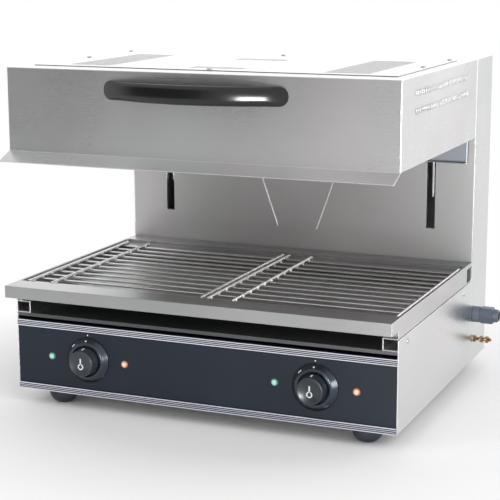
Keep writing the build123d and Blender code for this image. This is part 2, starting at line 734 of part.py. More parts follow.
with BuildPart() as cable_gland:
    with BuildSketch(facing_right(half_width, inlet_y, gland_level)):
        Circle(gland_flange_radius)
    extrude(amount=gland_flange)
    with BuildSketch(facing_right(half_width + gland_flange, inlet_y, gland_level)):
        RegularPolygon(gland_nut_across / 2, 6, major_radius=False)
    extrude(amount=gland_nut)
    with BuildSketch(facing_right(half_width + gland_flange + gland_nut, inlet_y, gland_level)):
        Circle(gland_nose_radius)
    extrude(amount=gland_nose)
    nose_edge = cable_gland.edges().filter_by(GeomType.CIRCLE).group_by(Axis.X)[-1]
    fillet(nose_edge, gland_nose_edge)
    with BuildSketch(facing_right(half_width, inlet_y, gland_level)):
        Circle(gland_thread_radius)
    extrude(amount=-gland_thread)
    with BuildSketch(facing_right(half_width + gland_reach, inlet_y, gland_level)):
        Circle(gland_bore_radius)
    extrude(amount=-gland_reach - gland_thread, mode=Mode.SUBTRACT)
write_piece(cable_gland, "cable_gland")

with BuildPart() as gland_locknut:
    with BuildSketch(facing_right(inner_half, inlet_y, gland_level)):
        RegularPolygon(locknut_across / 2, 6, major_radius=False)
        Circle(gland_thread_radius + thread_gap, mode=Mode.SUBTRACT)
    extrude(amount=-locknut_height)
write_piece(gland_locknut, "gland_locknut")

with BuildPart() as bonding_stud:
    with BuildSketch(facing_right(half_width + stud_length, inlet_y, stud_level)):
        Circle(stud_radius)
    extrude(amount=-stud_length - stud_inner)
    chamfer(bonding_stud.edges().filter_by(GeomType.CIRCLE), edge_radius)
write_piece(bonding_stud, "bonding_stud")

with BuildPart() as bonding_nuts:
    for start in stud_nut_places:
        with BuildSketch(facing_right(half_width + start, inlet_y, stud_level)):
            RegularPolygon(stud_nut_across / 2, 6, major_radius=False)
            Circle(stud_radius + thread_gap, mode=Mode.SUBTRACT)
        extrude(amount=stud_nut)
write_piece(bonding_nuts, "bonding_nuts")

# ==== hood =================================================================================
with BuildPart() as hood_shell:
    slab(-half_width, half_width, hood_front, hood_rear, hood_low, hood_top)
    outline = hood_shell.edges().group_by(Axis.Z)[-1]
    front_corners = hood_shell.edges().filter_by(Axis.Z).group_by(Axis.Y)[0]
    fillet(outline.sort_by(Axis.Y)[:-1] + front_corners, edge_radius)
    slab(-inner_half, inner_half, hood_front + sheet, hood_rear, hood_low, hood_top - sheet,
         Mode.SUBTRACT)
    slab(-cover_x + cover_lap, cover_x - cover_lap, cover_y0 + cover_lap, cover_y1 - cover_lap,
         hood_top - sheet, hood_top, Mode.SUBTRACT)
    with BuildSketch(level(hood_top)):
        with Locations(cover_screw_places):
            Circle(screw_radius + screw_hole_gap)
    extrude(amount=-sheet, mode=Mode.SUBTRACT)
    with BuildSketch(facing_right(-half_width)):
        with BuildLine():
            lip_turn = math.atan2(lip_drop, lip_reach)
            under_x = sheet * math.sin(lip_turn)
            under_z = sheet * math.cos(lip_turn)
            Polyline((hood_front, hood_low), (hood_front - lip_reach, hood_low - lip_drop),
                     (hood_front - lip_reach + under_x, hood_low - lip_drop - under_z),
                     (hood_front + sheet, hood_low - under_z / 2), (hood_front + sheet, hood_low),
                     (hood_front, hood_low))
        make_face()
    extrude(amount=body_width)
    mirrored_slab(half_width - return_tab, inner_half, rear_plate_front - sheet, rear_plate_front,
                  hood_low + return_tab_gap, hood_top - sheet)
    vent_start = hood_front + side_vent_front
    side_vent_count = int((hood_rear - side_vent_rear - vent_start) / side_vent_pitch) + 1
    vent_middle = vent_start + (side_vent_count - 1) * side_vent_pitch / 2
    with BuildSketch(facing_right(half_width, vent_middle, hood_top - side_vent_top)):
        with GridLocations(side_vent_pitch, side_vent_rows, side_vent_count, 2):
            SlotOverall(side_vent_height, side_vent_width, rotation=90)
    extrude(amount=-body_width, mode=Mode.SUBTRACT)
    with BuildSketch(facing_front(hood_front, 0, handle_level)):
        with Locations((-hole_x, 0), (hole_x, 0)):
            Circle(screw_radius + screw_hole_gap)
    extrude(amount=-sheet, mode=Mode.SUBTRACT)
write_piece(hood_shell, "hood_shell")

with BuildPart() as top_cover:
    slab(-cover_x, cover_x, cover_y0, cover_y1, hood_top, cover_top)
    top_rim = top_cover.edges().group_by(Axis.Z)[-1]
    fillet(top_rim, edge_radius)
    group_start = cover_y0 + top_vent_front
    top_vent_count = int((cover_y1 - top_vent_rear - group_start) / top_vent_pitch) + 1
    group_middle = group_start + (top_vent_count - 1) * top_vent_pitch / 2
    group_x = cover_x - top_vent_inset
    with BuildSketch(level(cover_top)):
        with Locations((-group_x, group_middle), (group_x, group_middle)):
            with GridLocations(1, top_vent_pitch, 1, top_vent_count):
                SlotOverall(top_vent_length, top_vent_width)
        with Locations((0, cover_y0 + small_vent_front), (0, cover_y1 - small_vent_rear)):
            with GridLocations(1, top_vent_pitch, 1, small_vent_count):
                SlotOverall(small_vent_length, top_vent_width)
        with Locations(cover_screw_places):
            Circle(screw_radius + screw_hole_gap)
    extrude(amount=-sheet, mode=Mode.SUBTRACT)
write_piece(top_cover, "top_cover")

with BuildPart() as cover_screws:
    for x, y in cover_screw_places:
        with BuildSketch(level(cover_top, x, y)):
            Circle(screw_head_radius)
        extrude(amount=screw_head)
        with BuildSketch(level(cover_top, x, y)):
            Circle(screw_radius)
        extrude(amount=-screw_shank)
    heads = cover_screws.edges().filter_by(GeomType.CIRCLE).group_by(Axis.Z)[-1]
    fillet(heads, screw_head_edge)
write_piece(cover_screws, "cover_screws")

plate_half = half_width - rear_plate_inset
with BuildPart() as hood_rear_plate:
    plate_bottom = hood_low - rear_plate_drop
    slab(-plate_half, plate_half, rear_plate_front, rear_plate_rear, plate_bottom,
         hood_top - 2 * sheet)
    slab(-plate_half, plate_half, rear_plate_front - rear_plate_fold, rear_plate_front,
         plate_bottom, plate_bottom + rear_plate_thickness)
write_piece(hood_rear_plate, "hood_rear_plate")

reflector_half = half_width - reflector_side
reflector_front = hood_front + reflector_side
reflector_rear = rear_plate_front - sheet - reflector_rear_gap
outer_leg = reflector_half - reflector_sheet - element_side_gap - element_radius
inner_leg = element_middle_gap / 2 + element_radius
leg_span = outer_leg - inner_leg
element_pitch = leg_span / (element_legs - 1)
zone_x = (outer_leg + inner_leg) / 2
tail_y = reflector_rear - element_end_gap
element_length = reflector_rear - reflector_front - 2 * element_end_gap
tail_places = [(zone + step, tail_y) for zone in (-zone_x, zone_x)
               for step in (-leg_span / 2, leg_span / 2)]
with BuildPart() as reflector:
    slab(-reflector_half, reflector_half, reflector_front, reflector_rear, reflector_rim,
         reflector_roof)
    slab(-reflector_half + reflector_sheet, reflector_half - reflector_sheet,
         reflector_front + reflector_sheet, reflector_rear - reflector_sheet, reflector_rim,
         reflector_roof - reflector_sheet, Mode.SUBTRACT)
    slab(-inner_half, inner_half, hood_front + sheet, reflector_front, reflector_rim,
         reflector_rim + reflector_sheet)
    mirrored_slab(reflector_half, inner_half, reflector_front, reflector_rear, reflector_rim,
                  reflector_rim + reflector_sheet)
    with BuildSketch(level(reflector_roof)):
        with Locations(tail_places):
            Circle(element_radius + element_hole_gap)
    extrude(amount=-reflector_sheet, mode=Mode.SUBTRACT)
write_piece(reflector, "reflector")

with BuildPart() as insulation:
    slab(-reflector_half + wool_gap, reflector_half - wool_gap, reflector_front + wool_gap,
         reflector_rear - wool_gap, reflector_roof, reflector_roof + wool_height)
    with BuildSketch(level(reflector_roof + wool_height)):
        with Locations(tail_places):
            Circle(insulator_radius + element_hole_gap)
    extrude(amount=-wool_height, mode=Mode.SUBTRACT)
write_piece(insulation, "insulation")

turn_radius = element_pitch / 2 - element_turn_spare
front_turn = tail_y - element_length
for side, zone in (("left", -zone_x), ("right", zone_x)):
    route = [(zone - leg_span / 2, tail_y, reflector_roof + element_tail)]
    for leg in range(element_legs):
        leg_x = zone - leg_span / 2 + leg * element_pitch
        ends = [tail_y, front_turn] if leg % 2 == 0 else [front_turn, tail_y]
        route += [(leg_x, y, element_level) for y in ends]
    route.append((zone + leg_span / 2, tail_y, reflector_roof + element_tail))
    points = [(middle_x + x, front_y + y, z) for x, y, z in route]
    bends = [element_end_bend] + [turn_radius] * (2 * element_legs - 2) + [element_end_bend]
    with BuildPart() as element:
        with BuildLine() as element_path:
            FilletPolyline(*points, radius=bends)
        with BuildSketch(Plane(origin=element_path.wires()[0] @ 0, z_dir=element_path.wires()[0] % 0)):
            Circle(element_radius)
        sweep()
    write_piece(element, f"heating_element_{side}")

with BuildPart() as element_supports:
    support_top = element_level - element_radius - support_gap
    for zone in (-zone_x, zone_x):
        for y in (tail_y - element_length / 2 - support_spacing / 2,
                  tail_y - element_length / 2 + support_spacing / 2):
            x0 = zone - leg_span / 2 - support_overrun
            x1 = zone + leg_span / 2 + support_overrun
            slab(x0, x1, y - support_width / 2, y + support_width / 2,
                 support_top - support_thickness, support_top)
            for x in (x0, x1 - support_thickness):
                slab(x, x + support_thickness, y - support_width / 2, y + support_width / 2,
                     support_top, reflector_roof - reflector_sheet)
write_piece(element_supports, "element_supports")

with BuildPart() as element_insulators:
    for x, y in tail_places:
        with BuildSketch(level(reflector_roof, x, y)):
            Circle(insulator_radius)
            Circle(element_radius + support_gap, mode=Mode.SUBTRACT)
        extrude(amount=insulator_height)
write_piece(element_insulators, "element_insulators")

# ==== handle ===============================================================================
with BuildPart() as handle:
    with BuildSketch(level(handle_level - handle_height / 2, 0, hood_front)):
        with BuildLine():
            inner_end = handle_half - handle_foot
            ThreePointArc((-handle_half, 0), (0, -handle_reach), (handle_half, 0))
            ThreePointArc((-inner_end, 0), (0, -handle_reach + handle_thickness), (inner_end, 0))
            Line((-handle_half, 0), (-inner_end, 0))
            Line((inner_end, 0), (handle_half, 0))
        make_face()
    extrude(amount=handle_height)
    bow_edges = handle.edges().filter_by(GeomType.CIRCLE)
    fillet(bow_edges, handle_edge)
    with BuildSketch(facing_front(hood_front, 0, handle_level)):
        RectangleRounded(handle_length, handle_height, handle_end_radius)
    extrude(amount=handle_reach, mode=Mode.INTERSECT)
    with BuildSketch(facing_front(hood_front, 0, handle_level)):
        with Locations((-hole_x, 0), (hole_x, 0)):
            Circle(screw_radius)
    extrude(amount=screw_shank, mode=Mode.SUBTRACT)
write_piece(handle, "handle")

with BuildPart() as handle_screws:
    for x in (-hole_x, hole_x):
        with BuildSketch(facing_front(hood_front + sheet, x, handle_level)):
            Circle(screw_radius)
        extrude(amount=sheet + screw_shank)
        with BuildSketch(facing_front(hood_front + sheet, x, handle_level)):
            Circle(screw_head_radius)
        extrude(amount=-screw_head)
write_piece(handle_screws, "handle_screws")

# ==== lift gear ============================================================================
for side, sign in (("left", -1), ("right", 1)):
    rod_x = sign * slot_x
    near = rod_x - arm_thickness / 2
    far = rod_x + arm_thickness / 2
    flange_end = rod_x - sign * arm_flange
    with BuildPart() as lift_arm:
        slab(near, far, rear_plate_rear, carriage_front, tongue_bottom, tongue_top)
        slab(near, far, panel_rear + slot_fold + arm_panel_gap, carriage_front,
             tongue_bottom - arm_drop, tongue_top + arm_rise)
        slab(min(rod_x, flange_end), max(rod_x, flange_end), rear_plate_rear,
             rear_plate_rear + arm_thickness, tongue_bottom, tongue_top)
        slab(min(rod_x, flange_end), max(rod_x, flange_end), carriage_front - arm_thickness,
             carriage_front, carriage_bottom, carriage_top)
    write_piece(lift_arm, f"lift_arm_{side}")
    with BuildPart() as carriage:
        slab(rod_x - carriage_width / 2, rod_x + carriage_width / 2, carriage_front,
             carriage_front + carriage_depth, carriage_bottom, carriage_top)
        fillet(carriage.edges().filter_by(Axis.Z), edge_radius * 2)
        with BuildSketch(level(carriage_bottom, rod_x, rod_y)):
            Circle(rod_radius + screw_hole_gap)
        extrude(amount=carriage_height, mode=Mode.SUBTRACT)
        for start in (carriage_bottom, carriage_top - bush_length):
            with BuildSketch(level(start, rod_x, rod_y)):
                Circle(bush_radius + bush_seat)
            extrude(amount=bush_length, mode=Mode.SUBTRACT)
    write_piece(carriage, f"carriage_{side}")

with BuildPart() as carriage_bushes:
    for x in (-slot_x, slot_x):
        for start in (carriage_bottom, carriage_top - bush_length):
            with BuildSketch(level(start, x, rod_y)):
                Circle(bush_radius)
                Circle(rod_radius + bush_fit, mode=Mode.SUBTRACT)
            extrude(amount=bush_length)
write_piece(carriage_bushes, "carriage_bushes")

tie_half = slot_x - carriage_width / 2
with BuildPart() as carriage_tie:
    slab(-tie_half, tie_half, rod_y - tie_depth / 2, rod_y + tie_depth / 2, tie_bottom, tie_top)
    slab(-tie_half, tie_half, rod_y - tie_depth / 2 + tie_wall, rod_y + tie_depth / 2 - tie_wall,
         tie_bottom + tie_wall, tie_top - tie_wall, Mode.SUBTRACT)
write_piece(carriage_tie, "carriage_tie")

spring_low = tie_top
spring_high = cap_low - anchor_height
coil_length = spring_turns * spring_pitch
coil_low = (spring_low + spring_high - coil_length) / 2
wire_climb = Vector(0, spring_radius * 2 * math.pi, spring_pitch).normalized()


def coil_point(turns, centre):
    """A point of a spring's coil, so many turns above its lower end."""
    angle = 2 * math.pi * turns
    return Vector(centre.X + spring_radius * math.cos(angle),
                  centre.Y + spring_radius * math.sin(angle), coil_low + turns * spring_pitch)


def coil_way(turns):
    """The wire's direction at that point."""
    angle = 2 * math.pi * turns
    return Vector(-wire_climb.Y * math.sin(angle), wire_climb.Y * math.cos(angle), wire_climb.Z)


up = Vector(0, 0, 1)
for side, x in (("left", -spring_x), ("right", spring_x)):
    centre = Vector(middle_x + x, front_y + rod_y, 0)
    tail_low = Vector(centre.X, centre.Y, coil_low - spring_end)
    tail_high = Vector(centre.X, centre.Y, coil_low + coil_length + spring_end)
    with BuildPart() as spring:
        with BuildLine() as wire_path:
            Line(Vector(centre.X, centre.Y, spring_low), tail_low)
            arc_pair(tail_low, up, coil_point(0, centre), coil_way(0))
            for half in range(2 * spring_turns):
                arc_pair(coil_point(half / 2, centre), coil_way(half / 2),
                         coil_point(half / 2 + 0.5, centre), coil_way(half / 2 + 0.5))
            arc_pair(coil_point(spring_turns, centre), coil_way(spring_turns), tail_high, up)
            Line(tail_high, Vector(centre.X, centre.Y, spring_high))
        with BuildSketch(Plane(origin=wire_path.wires()[0] @ 0, z_dir=wire_path.wires()[0] % 0)):
            Circle(spring_wire)
        sweep()
    write_piece(spring, f"counter_spring_{side}")
    samples = [coil_point(i / 64, centre) for i in range(64 * spring_turns + 1)]
    gaps = [(samples[i + 48 + j] - samples[i]).length
            for i in range(0, len(samples) - 80, 8) for j in range(32)]
    print(f"counter_spring_{side}: least gap between turns {min(gaps) - 2 * spring_wire:.2f} mm")
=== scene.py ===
import math

import bmesh
import bpy
from mathutils import Matrix, Vector


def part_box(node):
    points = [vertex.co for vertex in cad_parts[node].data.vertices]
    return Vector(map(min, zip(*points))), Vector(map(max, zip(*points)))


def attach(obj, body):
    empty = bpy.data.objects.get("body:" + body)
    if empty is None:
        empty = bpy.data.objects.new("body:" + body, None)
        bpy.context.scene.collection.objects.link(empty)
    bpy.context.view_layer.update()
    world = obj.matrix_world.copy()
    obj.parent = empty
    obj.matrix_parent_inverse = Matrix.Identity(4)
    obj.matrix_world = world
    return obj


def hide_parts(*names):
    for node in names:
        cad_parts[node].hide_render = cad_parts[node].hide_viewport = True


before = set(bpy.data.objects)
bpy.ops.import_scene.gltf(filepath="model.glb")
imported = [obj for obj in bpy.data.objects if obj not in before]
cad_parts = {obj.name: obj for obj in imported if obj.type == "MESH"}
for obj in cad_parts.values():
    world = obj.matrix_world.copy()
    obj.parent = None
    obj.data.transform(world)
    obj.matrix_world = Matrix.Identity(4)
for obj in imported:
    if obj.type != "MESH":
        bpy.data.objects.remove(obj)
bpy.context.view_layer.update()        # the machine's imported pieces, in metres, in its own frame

# Looks of a countertop cheese melter: brushed steel hood, column, tray and base, a slate-black
# control panel between fluted trims, two knobs, four lamps, wire racks and a black bow handle.

mm = 0.001
same_point = 0.002 * mm     # points nearer than this are one point
RIGHT = Vector((1, 0, 0))
LEFT = Vector((-1, 0, 0))
FRONT = Vector((0, -1, 0))
BACK = Vector((0, 1, 0))
UP = Vector((0, 0, 1))
DOWN = Vector((0, 0, -1))

# ---- camera -------------------------------------------------------------------------------
camera_place = Vector((842.9, -2073.2, 682.6)) * mm
camera_turn = math.radians(22.895)
camera_dip = math.radians(11.645)
camera_roll = math.radians(-0.142)
camera_lens = 105.9
camera_sensor = 36
camera_reach = 50

# ---- light --------------------------------------------------------------------------------
ambient = 0.5
floor_radius = 6.0
floor_fade_start = 0.33
floor_fade_end = 0.7

# ---- controls -----------------------------------------------------------------------------
knob_rim = 1.5 * mm
knob_dish = 0.5 * mm
knob_draft = 1.5 * mm       # how much the cap's radius falls from its foot to its face
knob_foot = 6 * mm
symbol_bulb_radius = 4.6 * mm
symbol_line = 1.8 * mm
symbol_stem = 10.0 * mm
mark_height = 0.15 * mm
dash_length = 8.0 * mm
dash_width = 2.6 * mm
dash_from_panel_side = 13 * mm
dash_sink = 0.06 * mm
dot_radius = 1.3 * mm
panel_dot_radius = 1.1 * mm
panel_dot_rise = 3.4 * mm   # from the top of the bezel
bezel_rim_outside = 7 * mm  # the rim's two edges, inwards from the bezel's outline
bezel_rim_inside = 11 * mm
bezel_dash_turn = math.radians(44)
bezel_dash_share = 0.8      # the bezel's dash is this much of the knob's
bezel_mark_inset = 4.3 * mm
bezel_mark_level = 5.88 * mm
bezel_mark_sink = 0.1 * mm
bezel_slope_rise = 3.8
bezel_slope_run = 3.5

# ---- handle -------------------------------------------------------------------------------
handle_foot = 34 * mm
handle_thickness = 13 * mm
handle_end_radius = 13 * mm
handle_slimness = 0.88      # the grip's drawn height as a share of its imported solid's
handle_front_power = 0.8    # 1 draws the grip's section as an ellipse, and less draws it squarer
handle_top_power = 0.7
handle_back_power = 0.5
handle_back_blend = 4 * mm  # the gap behind the grip at which its flat back has turned round

# ---- feet ---------------------------------------------------------------------------------
foot_bulge = 2.8 * mm
foot_bowl_start = 8 * mm
foot_bowl_steps = 8
foot_tread_radius = 12 * mm
foot_pocket_radius = 7.5 * mm
foot_pocket_depth = 7 * mm
foot_washer_radius = 6 * mm
foot_washer_thickness = 1 * mm
foot_screw_radius = 4 * mm
foot_screw_height = 2.4 * mm

# ---- racks --------------------------------------------------------------------------------
rack_bar_count = 12
rack_overrun = 14 * mm
rack_rod_radius = 2.5 * mm
rack_second_rod = 39 * mm
weld_radius = 4.0 * mm
weld_stretch = (0.82, 1.45, 1)
weld_inset = 0.1 * mm

# ---- screws: their heads are in shares of their own radius and height ---------------------
head_crown = 0.74
head_dome = ((0.9, 0.86), (0.98, 0.55), (1.0, 0.3), (1.0, 0.0))
recess_half_width = 0.13
recess_taper = 0.85
recess_floor = 0.3
cross_reach = 0.52
slot_reach = 0.68
shank_radius = 1.9 * mm
shank_length = 5 * mm
shank_overlap = 0.2 * mm

# ---- cable gland and bonding stud ---------------------------------------------------------
gland_bore = 5.6 * mm
gland_neck = 10 * mm
gland_flange = 13 * mm
gland_ribbed = 12.7 * mm
gland_across = 25 * mm
gland_nut = 10.5 * mm
hexagon_corner = 1.155      # a corner's distance from the middle, over a side's
seal_bore = 5.5 * mm
seal_radius = 6.8 * mm
seal_depth = 9 * mm
stud_pitch = 1.0 * mm
thread_depth = 0.5          # of the pitch
thread_overlap = 0.3 * mm   # a nut's bore lies this far inside the thread
nut_across = 10 * mm
nut_face = 0.97             # a nut's round face, over its width
nut_chamfer_slope = 0.6
washer_radius = 5.7 * mm
washer_thickness = 1.0 * mm
washer_edge = 0.15 * mm

# ---- brushed steel ------------------------------------------------------------------------
brush_lines = (9.0, 1900.0)     # noise cells a metre, along and across the grain
brush_streaks = (2.4, 150.0)
level_face = 0.6                # a face whose normal rises by more than this is level
tint_share = 0.12
cool_tint = (0.5, 0.66, 0.6)
warm_tint = (0.72, 0.6, 0.64)


# ==== making meshes ========================================================================
def solids(node):
    """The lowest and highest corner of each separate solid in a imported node, in a fixed order."""
    shape = bmesh.new()
    shape.from_mesh(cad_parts[node].data)
    bmesh.ops.remove_doubles(shape, verts=shape.verts, dist=same_point)
    waiting = set(shape.verts)
    boxes = []
    while waiting:
        front = [waiting.pop()]
        island = list(front)
        while front:
            vert = front.pop()
            for edge in vert.link_edges:
                other = edge.other_vert(vert)
                if other in waiting:
                    waiting.remove(other)
                    front.append(other)
                    island.append(other)
        low = [min(vert.co[axis] for vert in island) for axis in range(3)]
        high = [max(vert.co[axis] for vert in island) for axis in range(3)]
        boxes.append((low, high))
    shape.free()
    return [(Vector(low), Vector(high)) for low, high in sorted(boxes)]


def middle(box, **level):
    """The centre of a box, moved to a level in x, y or z where one is given."""
    centre = (box[0] + box[1]) / 2
    for axis, value in level.items():
        setattr(centre, axis, value)
    return centre


def finished(shape, name, body, finish, crease=40):
    """Turns a mesh in the making into a piece that rides on a body and wears a finish."""
    bmesh.ops.remove_doubles(shape, verts=shape.verts, dist=same_point)
    bmesh.ops.recalc_face_normals(shape, faces=shape.faces)
    mesh = bpy.data.meshes.new(name)
    shape.to_mesh(mesh)
    shape.free()
    mesh.shade_smooth()
    mesh.set_sharp_from_angle(angle=math.radians(crease))
    mesh.materials.append(finish)
    piece = bpy.data.objects.new(name, mesh)
    bpy.context.scene.collection.objects.link(piece)
    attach(piece, body)
    return piece


def facing(place, outward, up=UP):
    """The matrix that puts a shape drawn on its own XY plane at place, looking outward."""
    across = up.cross(outward).normalized()
    upright = outward.cross(across)
    turn = Matrix((across, upright, outward)).transposed().to_4x4()
    return Matrix.Translation(place) @ turn


def turned(shape, outline, place, outward, steps=48):
    """Turns an outline of (radius, distance outward) points round an axis through place."""
    aside = outward.orthogonal().normalized()
    points = [shape.verts.new(place + aside * radius + outward * along)
              for radius, along in outline]
    lines = [shape.edges.new(pair) for pair in zip(points, points[1:])]
    bmesh.ops.spin(shape, geom=points + lines, cent=place, axis=outward, dvec=(0, 0, 0),
                   angle=2 * math.pi, steps=steps, use_merge=True, use_duplicate=False)


def rings(shape, segments, stations):
    """A skin through rings of points; each station gives a point for every angle."""
    loop = bmesh.ops.create_circle(shape, radius=1, segments=segments, cap_ends=False)["verts"]
    turns = [2 * math.pi * i / segments for i in range(segments)]
    for vert, turn in zip(loop, turns):
        vert.co = stations[0](turn)
    edges = [shape.edges.get((loop[i], loop[(i + 1) % segments])) for i in range(segments)]
    for station in stations[1:]:
        grown = bmesh.ops.extrude_edge_only(shape, edges=edges)["geom"]
        before = set(loop)
        partner = {}
        for vert in grown:
            if isinstance(vert, bmesh.types.BMVert):
                for edge in vert.link_edges:
                    other = edge.other_vert(vert)
                    if other in before:
                        partner[other] = vert
        loop = [partner[old] for old in loop]
        for vert, turn in zip(loop, turns):
            vert.co = station(turn)
        edges = [shape.edges.get((loop[i], loop[(i + 1) % segments])) for i in range(segments)]


def flat_shape(shape, outline, height, place_matrix, edge=0.0):
    """A low plate with this outline on its own XY plane, raised by height and put in place."""
    points = [shape.verts.new((x, y, 0)) for x, y in outline]
    face = shape.faces.new(points)
    grown = bmesh.ops.extrude_face_region(shape, geom=[face])["geom"]
    top = [item for item in grown if isinstance(item, bmesh.types.BMVert)]
    bmesh.ops.translate(shape, verts=top, vec=(0, 0, height))
    if edge:
        rim = [item for item in grown if isinstance(item, bmesh.types.BMEdge)]
        bmesh.ops.bevel(shape, geom=rim, offset=edge, segments=2, profile=0.5, material=-1,
                        affect="EDGES")
    new = connected(points[0])
    bmesh.ops.transform(shape, matrix=place_matrix, verts=new)


def connected(start):
    """Every vertex that edges join to start."""
    found = {start}
    front = [start]
    while front:
        vert = front.pop()
        for edge in vert.link_edges:
            other = edge.other_vert(vert)
            if other not in found:
                found.add(other)
                front.append(other)
    return list(found)


def disc(radius, segments=24, x=0.0, y=0.0):
    """The outline of a round plate."""
    return [(x + radius * math.cos(2 * math.pi * i / segments),
             y + radius * math.sin(2 * math.pi * i / segments)) for i in range(segments)]


def bar(length, width, turn=0.0, x=0.0, y=0.0, steps=6):
    """The outline of a bar with round ends, its middle at x, y."""
    points = []
    for end in (1, -1):
        for i in range(steps + 1):
            angle = math.pi * i / steps - math.pi / 2
            points.append((end * ((length - width) / 2 + width / 2 * math.cos(angle)),
                           end * width / 2 * math.sin(angle)))
    return [(x + px * math.cos(turn) - py * math.sin(turn),
             y + px * math.sin(turn) + py * math.cos(turn)) for px, py in points]


def softened(value, power):
    """A sine or cosine raised to a power, with its sign kept."""
    return math.copysign(abs(value) ** power, value) if abs(value) > 1e-9 else 0.0


def screw_head(shape, place, outward, radius, height, recess, turn=0.0):
    """A domed screw head with a cross or a slot cut into its top."""
    half = radius * recess_half_width
    if recess == "cross":
        arm = radius * cross_reach
        cut = [(half, arm), (-half, arm), (-half, half), (-arm, half), (-arm, -half),
               (-half, -half), (-half, -arm), (half, -arm), (half, -half), (arm, -half),
               (arm, half), (half, half)]
    else:
        arm = radius * slot_reach
        cut = [(arm, half), (-arm, half), (-arm, -half), (arm, -half)]
    cut = [shape.verts.new((x, y, height)) for x, y in cut]
    cut_edges = [shape.edges.new((a, b)) for a, b in zip(cut, cut[1:] + cut[:1])]
    crown = bmesh.ops.create_circle(shape, radius=radius * head_crown, segments=24,
                                    cap_ends=False)["verts"]
    bmesh.ops.translate(shape, verts=crown, vec=(0, 0, height))
    crown_edges = list({edge for vert in crown for edge in vert.link_edges})
    bmesh.ops.triangle_fill(shape, use_beauty=True, use_dissolve=False,
                            edges=cut_edges + crown_edges)
    for size, rise in head_dome:
        grown = bmesh.ops.extrude_edge_only(shape, edges=crown_edges)["geom"]
        crown_edges = [item for item in grown if isinstance(item, bmesh.types.BMEdge)]
        for item in grown:
            if isinstance(item, bmesh.types.BMVert):
                flat = Vector((item.co.x, item.co.y, 0)).normalized() * radius * size
                item.co = Vector((flat.x, flat.y, height * rise))
    grown = bmesh.ops.extrude_edge_only(shape, edges=cut_edges)["geom"]
    floor_edges = [item for item in grown if isinstance(item, bmesh.types.BMEdge)]
    for item in grown:
        if isinstance(item, bmesh.types.BMVert):
            item.co = Vector((item.co.x * recess_taper, item.co.y * recess_taper,
                              height * recess_floor))
    bmesh.ops.triangle_fill(shape, use_beauty=True, use_dissolve=False, edges=floor_edges)
    up = UP if abs(outward.z) < 0.5 else BACK
    spun = facing(place, outward, up) @ Matrix.Rotation(turn, 4, "Z")
    bmesh.ops.transform(shape, matrix=spun, verts=connected(cut[0]))


def hexagon(turn, across):
    """The distance from a hexagon's middle to its side, at this angle."""
    sixth = math.pi / 3
    return across / 2 / math.cos((turn % sixth) - sixth / 2)


def on_ring(fit, turn, radius, along):
    """The point at this angle and radius round an axis, and this far along it."""
    return fit @ Vector((radius * math.cos(turn), radius * math.sin(turn), along))


def hex_nut(shape, place, outward, across, height, bore):
    """A chamfered hexagon nut with a bore, from place outward."""
    fit = facing(place, outward)
    flat = across / 2 * nut_face

    def ring(radius_at, along_at):
        return lambda turn: on_ring(fit, turn, radius_at(turn), along_at(turn))

    def chamfer(turn):
        return (hexagon(turn, across) - flat) * nut_chamfer_slope

    rings(shape, 48, [
        ring(lambda turn: bore, lambda turn: 0),
        ring(lambda turn: flat, lambda turn: 0),
        ring(lambda turn: hexagon(turn, across), chamfer),
        ring(lambda turn: hexagon(turn, across), lambda turn: height - chamfer(turn)),
        ring(lambda turn: flat, lambda turn: height),
        ring(lambda turn: bore, lambda turn: height),
        ring(lambda turn: bore, lambda turn: 0)])


def thread(shape, place, outward, radius, pitch, turns, steps=20):
    """A screw thread: a ridge outline turned and moved along its axis."""
    aside = outward.orthogonal().normalized()
    root = radius - pitch * thread_depth
    outline = ((root, 0), (root, 0.15), (radius, 0.5), (radius, 0.62), (root, 1))
    points = [shape.verts.new(place + aside * r + outward * along * pitch) for r, along in outline]
    lines = [shape.edges.new(pair) for pair in zip(points, points[1:])]
    bmesh.ops.spin(shape, geom=points + lines, cent=place, axis=outward,
                   dvec=outward * pitch / steps, angle=2 * math.pi * turns, steps=steps * turns,
                   use_merge=False, use_duplicate=False)


# ==== finishes =============================================================================
def tone(red, green, blue):
    """A shader colour from screen values of 0 to 255."""
    values = [value / 255 for value in (red, green, blue)]
    return tuple(v / 12.92 if v <= 0.04045 else ((v + 0.055) / 1.055) ** 2.4 for v in values)


